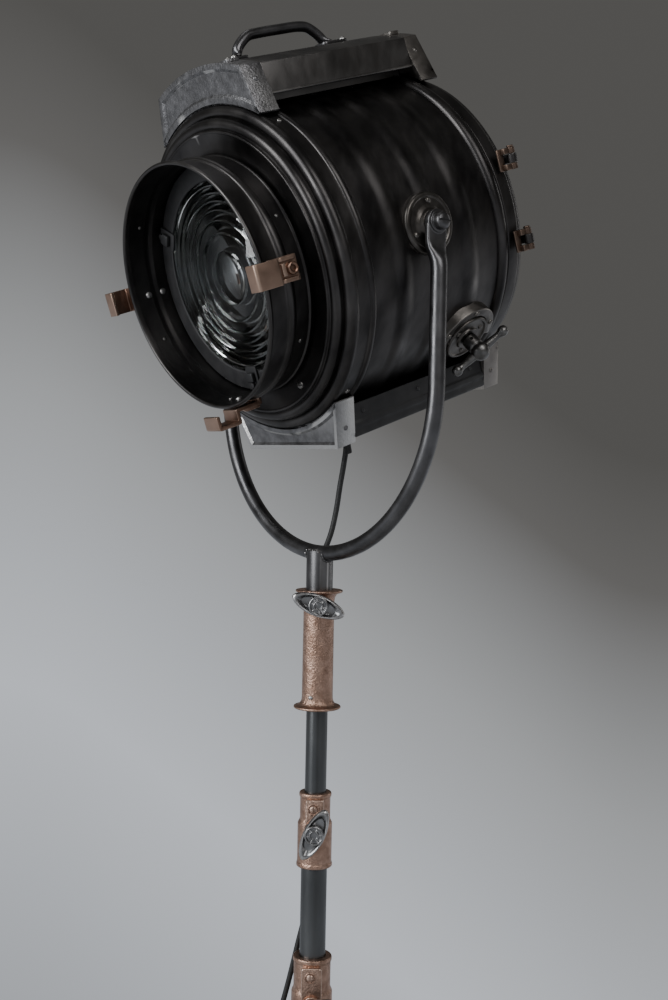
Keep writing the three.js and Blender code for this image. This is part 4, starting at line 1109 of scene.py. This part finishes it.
# ---------- rear door ----------
def add_door():
    y, hinge_x, hinge_y = 124.9, 166, 127.6
    panel = lathe([(0, y + 7), (57, y + 7), (61, y + 7, 2), (66, y + 5, 2), (104, y + 5),
                   (107, y + 6.6, 1.6), (112, y + 6.6, 1.6), (115, y + 5, 1.6), (145, y + 5, 2),
                   (152, y + 7, 2.4), (157, y + 5.6, 2), (158.5, y + 0.4, 1), (156.6, y, 0.6),
                   (154.6, y + 3.4, 1.5), (148, y + 3.2, 1), (144, y + 2.6, 2), (66, y + 2.8, 2),
                   (60, y + 4.8, 2), (0, y + 4.8)], "y", 160)
    cuts, hoods = [], []
    for side in (-1, 1):
        for k in (40, 64, 88):
            z = side * k
            cuts.append(slab(-37, 37, y - 2, y + 12, z - 3, z + 3, 0))
            face = y + (7 if k == 40 else 5)
            shell_line = [(face - 0.6, z + 5.4), (face + 1.6, z + 4.6), (face + 3.4, z + 2),
                          (face + 4, z - 2.4), (face + 3.2, z - 2.4), (face + 2.6, z + 1.4),
                          (face + 1.2, z + 3.6), (face - 0.6, z + 4.2)]
            hoods.append(prism(shell_line, -39, 39, "x", 0.15))
            end = [(face - 0.6, z + 5.4), (face + 1.6, z + 4.6), (face + 3.4, z + 2), (face + 4, z - 2.4),
                   (face - 0.6, z - 2.4)]
            hoods += [prism(end, x, x + 0.9, "x", 0.15) for x in (-39.4, 38.5)]
    panel = cut_shell(panel, *cuts)
    knuckles = []
    for z in (-37, 45):
        knuckles.append(shifted(pipe(5, 2.3, z - 4.5, z + 4.5, "z", 0.4, 32), hinge_x, hinge_y, 0))
        leaf = cut_shell(slab(147, hinge_x, y + 4.4, hinge_y + 5, z - 4.5, z + 4.5, 0.5),
                         shifted(rod(2.6, z - 9, z + 9, "z", 0.1, 24), hinge_x, hinge_y, 0))
        knuckles.append(leaf)
    piece("back_door", [panel] + hoods + knuckles, DRUM, DRUM_STEEL, "rear_door",
          ["rear_door"], angle=28)
    for name, z in (("lower", -37), ("upper", 45)):
        shells = []
        for c in (z - 8, z + 8):
            shells.append(shifted(pipe(4.2, 1.9, c - 3, c + 3, "z", 0.4, 32), hinge_x, hinge_y, 0))
            shells.append(slab(161, 167.6, 116.5, 125, c - 3, c + 3, 0.8))
        shells.append(slab(160, 162.4, 112, 120, z - 11, z + 11, 0.7))
        shells.append(shifted(rod(2, z - 11, z + 12, "z", 0.4, 24), hinge_x, hinge_y, 0))
        shells.append(shifted(rod(3.4, z + 11, z + 13, "z", 0.8, 24), hinge_x, hinge_y, 0))
        piece("hinge_bracket_" + name, shells, DRUM, DARK_BRONZE, "head", ["door_hinge_" + name])

    arm = [slab(-171, -160.4, 105, 122, -7, 7, 1), slab(-171, -161.5, 120, y + 3, -4, 4, 0.8),
           aimed(slotted_head(3, 1.8), (-170.9, 111, 0), (-1, 0, 0))]
    piece("latch_keeper", arm, DRUM, DARK_BRONZE, "head", ["door_keeper"])
    wing = prism(soften([(-26, -5, 3), (0, -7.5, 5), (9.5, -4, 3), (9.5, 4, 3), (0, 7.5, 5), (-26, 5, 3)]),
                 0.4, 4.2, "z", 0.9)
    wing = turned(wing, -90, "x")
    shells = [wing, rod(9, 0, 5, "y", 1), rod(5, 4, 6.2, "y", 0.8), slab(1, 9, 4.6, 15.6, -2, 2, 1.1)]
    shells = [shifted(shell, -146, y + 7, 0) for shell in shells]
    piece("latch_button", shells, DRUM, KNOB_STEEL, "door_latch", ["door_latch"])


add_drum()
add_lens()
add_castings()
add_pivots()
add_clips()
add_focus()
add_lamp()
add_door()


# ---------- yoke ----------
def add_yoke():
    arm_x, tube_radius, arm_drop, lowest = 179.4, 8.25, 154.8, 328
    plate_x = 173.6
    straight, bend = [], []
    for k in range(25):
        z = -arm_drop * k / 24
        ease = eased((-z - 21) / 21)
        straight.append(Vector((plate_x + (arm_x - plate_x) * ease, 0, z)))
    for k in range(1, 64):
        a = math.pi * k / 64
        bend.append(Vector((arm_x * math.cos(a), 0, -arm_drop - (lowest - arm_drop) * math.sin(a))))
    left = [Vector((-p.x, p.y, p.z)) for p in reversed(straight)]
    line = straight + bend + left
    depth = [-p.z for p in line]

    def section(t):
        drop = depth[round(t * (len(line) - 1))]
        ease = eased((drop - 17) / 27)
        wide = 12 + (tube_radius - 12) * ease
        thick = 3 + (tube_radius - 3) * ease
        power = 0.34 + 0.66 * ease
        out = []
        for k in range(32):
            a = 2 * math.pi * (k + 0.5) / 32
            c, s = math.cos(a), math.sin(a)
            out.append((wide * math.copysign(abs(c) ** power, c),
                        thick * math.copysign(abs(s) ** power, s)))
        return out

    shells = [sweep(line, section, side=Vector((0, 1, 0)))]
    eye = prism(circle(12.2, 64), 170.4, 176.8, "x", 0.9)
    shells += [eye, turned(eye, 180, "z")]
    piece("yoke_fork", shells, MAST, YOKE_STEEL, "yoke", ["yoke_bow"], angle=40)

    stem = cut_shell(rod(14.3, -456, -325, "z", 0.9, 72), shifted(rod(tube_radius + 0.05, -40, 40, "x", 0,
            64), 0, 0, -328))
    shells = [stem]
    for side in (1, -1):
        line = [Vector((x, side * (8.9 + 0.35 * math.sin(x * 1.9)), -325.4 + 0.5 * math.cos(x * 2.3)))
                for x in [-10.6 + 21.2 * k / 30 for k in range(31)]]
        shells.append(sweep(line, lambda t: circle(1.7 + 0.35 * math.sin(t * 60), 12),
                            side=Vector((0, 0, 1))))
    for side in (1, -1):
        arc_line = []
        for k in range(25):
            a = math.radians(-90 + 180 * k / 24)
            arc_line.append(Vector((side * 14.3, 0, -328))
                            + Vector((side * (0.4 + 0.25 * math.cos(k * 2.2)), 8.35 * math.sin(a),
                                      -8.35 * math.cos(a))))
        shells.append(sweep(arc_line, lambda t: circle(1.15 + 0.2 * math.sin(t * 50), 10),
                            side=Vector((1, 0, 0))))
    piece("stem", shells, MAST, YOKE_STEEL, "yoke", ["yoke_stem"], angle=40)
    piece("stem_lead_clip", lead_clip(27, -346, 14.3), FACING, BLACK_PAINT, "yoke")

    bolt = lathe([(0, 164), (4.6, 164, 0.3), (4.6, 177.0, 0.2), (10.4, 177.0, 0.3), (10.4, 178.4, 0.5),
                  (8.4, 178.6, 0.3), (8.4, 184.0, 1.2), (7.4, 186.2, 1.6), (4.5, 187.4, 1.5), (0, 187.7)],
                 "x", 64)
    slot = slab(186.2, 192, -12, 12, -1.0, 1.0, 0)
    piece("pivot_bolt", [cut_shell(bolt, slot)], MAST, YOKE_STEEL, "yoke",
          ["pivot_bolt_right"])

    hub = hoop([(5, 177.0, 0.3), (9.5, 177.0, 0.8), (9.5, 194.6, 1.2), (5, 194.6, 0.4)], "x", 48)
    arm = lathe([(0, 7), (5.2, 7, 0.5), (4.4, 16, 3), (3.4, 43, 4), (4.2, 46, 1), (5.7, 49.5, 2),
                 (5.7, 53.5, 2), (3.4, 57.4, 2), (0, 58)], turns=40)
    shells = [turned(hub, 180, "z"), turned(shifted(arm, 187.6, 0, 0), 180, "z")]
    piece("tilt_lever", shells, MAST, KNOB_STEEL, "tilt_clamp", ["tilt_clamp_lever"])


def lead_clip(reach, z, from_radius):
    """A strap that holds the lead behind the mast."""
    arm = slab(-reach + 3.4, -from_radius + 1.5, -4, 4, z - 4.5, z + 4.5, 1)
    band = pipe(6.0, 3.15, z - 4.5, z + 4.5, "z", 0.6, 40)
    return [arm, shifted(band, -reach, 0, 0)]


# ---------- stand ----------
def wing_knob(name, body, node, reach, z, lean):
    half_length, half_width = 29.0, 11.5
    around, n = 128, 1.8

    def rim(a):
        return ((abs(math.cos(a)) / half_length) ** n + (abs(math.sin(a)) / half_width) ** n) ** (-1 / n)

    front = [(0.0, -0.6), (0.3, -0.8), (0.5, -0.9), (0.64, -0.3), (0.74, 1.6), (0.8, 2.9), (0.85, 3.3),
             (0.92, 3.1), (0.97, 2.2), (1.0, 0.8)]
    rear = [(1.0, -0.8), (0.96, -1.9), (0.88, -2.6), (0.6, -2.9), (0.3, -3.0), (0.0, -3.0)]
    verts, faces = [], []
    rings = front[1:] + rear[:-1]
    for rho, height in rings:
        for k in range(around):
            a = 2 * math.pi * k / around
            r = rim(a)
            y, zz = r * math.cos(a), r * math.sin(a)
            tip = max(0.0, abs(math.cos(a)) - 0.94) / 0.06
            verts.append((height - 0.5 * tip * (rho > 0.6), y * rho, zz * rho))
    first = len(verts)
    verts += [(front[0][1], 0, 0), (rear[-1][1], 0, 0)]
    for i in range(len(rings) - 1):
        faces += band(i, around)
    last = (len(rings) - 1) * around
    for k in range(around):
        m = (k + 1) % around
        faces.append((first, m, k))
        faces.append((first + 1, last + k, last + m))
    wing = tidy((verts, faces))
    badge = lathe([(0, 3.5), (3.4, 3.5, 0.4), (3.8, 4.5, 0.4), (5.0, 4.5, 0.4), (5.4, 3.5, 0.4),
                   (7.6, 3.5, 0.4), (8.2, 5.2, 0.6), (9.8, 5.2, 0.8), (10.4, 3.6, 0.6), (10.5, -2.6, 0.8),
                   (9, -4, 0.8), (0, -4)], "x", 64)
    spokes = [turned(slab(3.2, 4.3, -0.6, 0.6, 4.6, 7.9, 0.25), 60 * k + 30, "x") for k in range(6)]
    shank = lathe([(0, -15), (5, -15, 0.4), (5, -7, 1), (6.6, -4, 1.5), (6.6, -2, 0.4), (0, -2)], "x", 32)
    shells = [turned(shell, lean, "x") for shell in [wing, badge, shank] + spokes]
    shells = [shifted(shell, reach + 15, 0, z) for shell in shells]
    piece(name, shells, FACING, KNOB_STEEL, body, [node], angle=30)


def add_stand():
    # the long sleeve under the yoke
    low, high = -494, -367
    wall = [(14.6, high, 0.4), (24.6, high, 0.8), (25.5, high - 1.2, 0.8), (24.8, high - 2.8, 0.8),
            (20, high - 3.8, 2), (16.9, high - 8, 3), (16.4, high - 14, 1), (16.6, low + 14, 1),
            (16.9, low + 8, 3), (20, low + 3.8, 2), (24.8, low + 2.8, 0.8), (25.5, low + 1.2, 0.8),
            (24.6, low, 0.8), (11.8, low, 0.4), (11.8, -466, 0.2), (14.6, -458, 0.2)]
    knob_boss = lathe([(0, 15), (11.5, 15, 0.4), (11, 18, 0.8), (9.8, 25.6, 1), (9, 26.7, 0.5), (0, 26.7)],
                      "x", 48)
    shells = [hoop(wall, turns=128), shifted(knob_boss, 0, 0, -380)]
    shells += lead_clip(29.5, -480, 16.2)
    piece("receiver_sleeve", shells, FACING, BRONZE, "top_mast", ["head_receiver"])
    aim = math.radians(-24)
    screw = aimed(domed_head(2.5, 1.7), (16.8 * math.cos(aim), 16.8 * math.sin(aim), -481),
                  (math.cos(aim), math.sin(aim), 0))
    piece("receiver_set_screw", [screw], FACING, FASTENER, "top_mast")
    piece("upper_tube", [pipe(11.5, 9.5, -1270, -466.5, "z", 0.5, 96)], MAST, RISER_STEEL, "top_mast",
          ["top_riser"])

    # the two clamps on the telescoping tubes
    wall = [(11.8, -584, 0.4), (16.6, -584, 1), (17.4, -585.4, 0.8), (17.4, -588, 0.8), (16.3, -590, 1),
            (16.2, -612, 1), (17, -614.5, 1), (18.5, -617, 1.4), (18.5, -658.6, 1), (19.3, -660.6, 0.9),
            (19.3, -663.2, 0.8), (18.4, -664, 0.5), (14.3, -664, 0.4), (14.3, -610, 0.2), (11.8, -607, 0.2)]
    shells = [hoop(wall, turns=128)]
    shells += clamp_front(-600, -620, 16.2, 18.5, 24.7, 12.5)
    shells += lead_clip(27, -640, 18)
    piece("upper_clamp", shells, FACING, BRONZE, "mid_mast", ["top_clamp"])
    piece("middle_tube", [pipe(14, 12, -1400, -610.5, "z", 0.5, 96)], MAST, RISER_STEEL, "mid_mast",
          ["mid_riser"])

    wall = [(14.3, -761, 0.4), (20.2, -761, 1), (21, -762.4, 0.8), (21, -765.2, 0.8), (19.9, -767.4, 1),
            (19.8, -794, 1), (20.6, -796.5, 1), (22, -799.2, 1.4), (22, -845.4, 1), (22.8, -847.4, 0.9),
            (22.8, -850.2, 0.8), (21.9, -851, 0.5), (17.8, -851, 0.4), (17.8, -790, 0.2), (14.3, -787, 0.2)]
    shells = [hoop(wall, turns=128)]
    shells += clamp_front(-779, -806, 19.8, 22, 27.7, 14)
    piece("lower_clamp", shells, FACING, BRONZE, "base", ["mid_clamp"])
    piece("column", [pipe(17.5, 14.6, -1565.5, -790.5, "z", 0.5, 96)], MAST, RISER_STEEL, "base",
          ["base_column"])

    wing_knob("receiver_knob", "receiver_knob", "receiver_wing_knob", 27, -380, -20)
    wing_knob("upper_knob", "top_knob", "top_wing_knob", 25, -620, 65)
    wing_knob("lower_knob", "mid_knob", "mid_wing_knob", 28, -806, 20)


def clamp_front(screw_z, knob_z, neck_radius, body_radius, reach, width):
    """The thickened panel of a clamp, its round screw and the boss that takes the wing knob."""
    top = screw_z + 11
    panel = prism(soften([(-width * 0.78, knob_z - 16, 4), (width * 0.78, knob_z - 16, 4),
                          (width * 0.78, top, 3), (-width * 0.78, top, 3)]), neck_radius * 0.55, body_radius
                  + 1.4, "x", 1.2)
    inner = rod(neck_radius - 0.8, knob_z - 30, top + 12, "z", 0, 64)
    panel = cut_shell(panel, inner)
    boss = lathe([(0, neck_radius - 1), (10.8, neck_radius - 1, 0.4), (10.4, reach - 5, 0.8),
                  (9, reach - 0.6, 1), (8.4, reach, 0.4), (0, reach)], "x", 48)
    screw = aimed(slotted_head(4.4, 2.4), (body_radius + 1.2, -1.5, screw_z + 1), (1, 0, 0))
    ring = shifted(hoop([(4.6, body_radius + 0.6, 0.2), (6.4, body_radius + 0.6, 0.3),
                         (6.0, body_radius + 2.2, 0.5), (4.6, body_radius + 2.0, 0.3)], "x", 40), 0, -1.5,
                   screw_z + 1)
    return [panel, shifted(boss, 0, 0, knob_z), screw, ring]


# ---------- base ----------
LEG_ANGLES = (-90, 30, 150)


def add_base():
    foot, top = 128, 214
    wall = hoop([(13.6, foot, 0.4), (23.4, foot, 1), (25, foot + 2, 1), (26, foot + 6, 2), (26, 186, 1),
                 (24.6, 188.6, 1), (24.6, 192, 1), (26, 194.6, 1), (26, 202, 2), (23, 211, 3),
                 (21.4, top, 1), (17.8, top, 0.4), (17.8, 134.2, 0.3), (13.6, 134.2, 0.2)], turns=96)
    shells = [wall]
    for angle in LEG_ANGLES:
        for side in (1, -1):
            low = min(side * 7, side * 13)
            outline = [(18, 156), (50, 156)] + bead((50, 170), (14, 14), -80, 10, 17) + [(50, 184), (18, 184)]
            lug = prism(outline, low, low + 6, "y", 1)
            hole = shifted(rod(4.05, -20, 20, "y", 0, 32), 50, 0, 170)
            shells.append(turned(cut_shell(lug, hole), angle, "z"))
        shells.append(turned(slab(18, 46, -8, 8, 184.5, 190, 1.2), angle, "z"))
        web = prism(soften([(22, 190), (34, 190, 3), (25, 201, 3), (22, 203)]), -3, 3, "y", 0.8)
        shells.append(turned(web, angle, "z"))
    piece("hub", shells, FLOOR, BRONZE, "base", ["leg_hub"])
    pins = []
    for angle in LEG_ANGLES:
        pin = [rod(4, -15, 15, "y", 0.4, 32), rod(6.5, 13.1, 16, "y", 1.2, 32),
               rod(6.5, -16, -13.1, "y", 1.2, 32)]
        pins += [turned(shifted(shell, 50, 0, 170), angle, "z") for shell in pin]
    piece("leg_pins", pins, FLOOR, FASTENER, "base")

    pin_height, pin_radius, reach, wheel = 170, 50, 430, 38
    crown_height = pin_height - 46
    slope = math.atan2(pin_height - crown_height, reach - pin_radius)
    length = math.hypot(pin_height - crown_height, reach - pin_radius)
    for i, angle in enumerate(LEG_ANGLES):
        place = FLOOR @ Matrix.Rotation(math.radians(angle), 4, "Z")
        spar = lathe([(0, 16), (9, 16, 2), (11, 24, 3), (11, length - 14, 1), (8, length - 6, 2),
                      (0, length - 4)], "x", 48)
        eye = prism(circle(13, 48), -6.5, 6.5, "y", 1)
        web = slab(0, 28, -6.5, 6.5, -10, 10, 1.4)
        pin_hole = rod(4.3, -20, 20, "y", 0, 32)
        slanted = [spar, cut_shell(eye, pin_hole), cut_shell(web, pin_hole)]
        slanted = [shifted(turned(shell, math.degrees(slope), "y"), pin_radius, 0, pin_height)
                   for shell in slanted]
        socket = revolve(soften([(6.3, crown_height - 24, 0.4), (12, crown_height - 24, 1),
                                 (13, crown_height - 21, 1), (13, crown_height + 12, 2),
                                 (9, crown_height + 16.4, 2), (0, crown_height + 17)], closed=False)[:-1]
                         + [(0, crown_height + 17), (0, crown_height + 10), (6.3, crown_height + 10)], "z",
                         turns=64)
        socket = shifted(socket, reach, 0, 0)
        piece("leg_arm_%d" % (i + 1), slanted + [socket], place, YOKE_STEEL, "leg_%d" % (i + 1),
              ["leg_%d" % (i + 1)])

        crown = crown_height - 24.3
        half = 12.5
        axle_x = 20
        parts = [rod(6, crown - 2, crown_height + 6, "z", 0.8, 32), rod(15, crown - 6, crown, "z", 1.2, 48)]
        for side in (1, -1):
            outline = soften([(-15, crown - 6, 3), (axle_x + 12, crown - 6, 3), (axle_x + 10, wheel, 6),
                              (axle_x + 7, wheel - 9, 6), (axle_x - 7, wheel - 9, 6),
                              (axle_x - 11, wheel, 6)])
            y0 = half if side > 0 else -half - 3
            parts.append(prism(outline, y0, y0 + 3, "y", 0.7))
        parts.append(slab(-15, axle_x + 12, -half - 3, half + 3, crown - 10, crown - 5.5, 1.2))
        axle = [rod(4, -half - 5, half + 5, "y", 0.4, 32)]
        for side in (1, -1):
            low = half + 3 if side > 0 else -half - 6.2
            nut = turned(hex_head(6.5, 3.2), -90, "x")
            axle.append(shifted(nut, 0, low, 0))
        parts += [shifted(shell, axle_x, 0, wheel) for shell in axle]
        parts = [shifted(shell, reach, 0, 0) for shell in parts]
        piece("fork_frame_%d" % (i + 1), parts, place, RISER_STEEL, "fork_%d" % (i + 1),
              ["caster_fork_%d" % (i + 1)])

        tyre = hoop([(26, -10.4, 1), (31, -11.2, 2), (36.4, -8.6, 3), (wheel, -5, 3), (wheel, 5, 3),
                     (36.4, 8.6, 3), (31, 11.2, 2), (26, 10.4, 1)], "y", 96)
        centre = hoop([(4.3, -11.5, 0.6), (10, -11.5, 1), (11, -8.4, 1.5), (22, -7.4, 1.5), (24.4, -10, 1),
                       (26.3, -10, 0.5), (26.3, 10, 0.5), (24.4, 10, 1), (22, 7.4, 1.5), (11, 8.4, 1.5),
                       (10, 11.5, 1), (4.3, 11.5, 0.6)], "y", 64)
        at = Matrix.Translation((reach + axle_x, 0, wheel))
        piece("wheel_tyre_%d" % (i + 1), [tyre], place @ at, WHEEL_RUBBER,
              "wheel_%d" % (i + 1), ["caster_wheel_%d" % (i + 1)])
        piece("wheel_centre_%d" % (i + 1), [centre], place @ at, RISER_STEEL,
              "wheel_%d" % (i + 1))


add_yoke()
add_stand()
add_base()
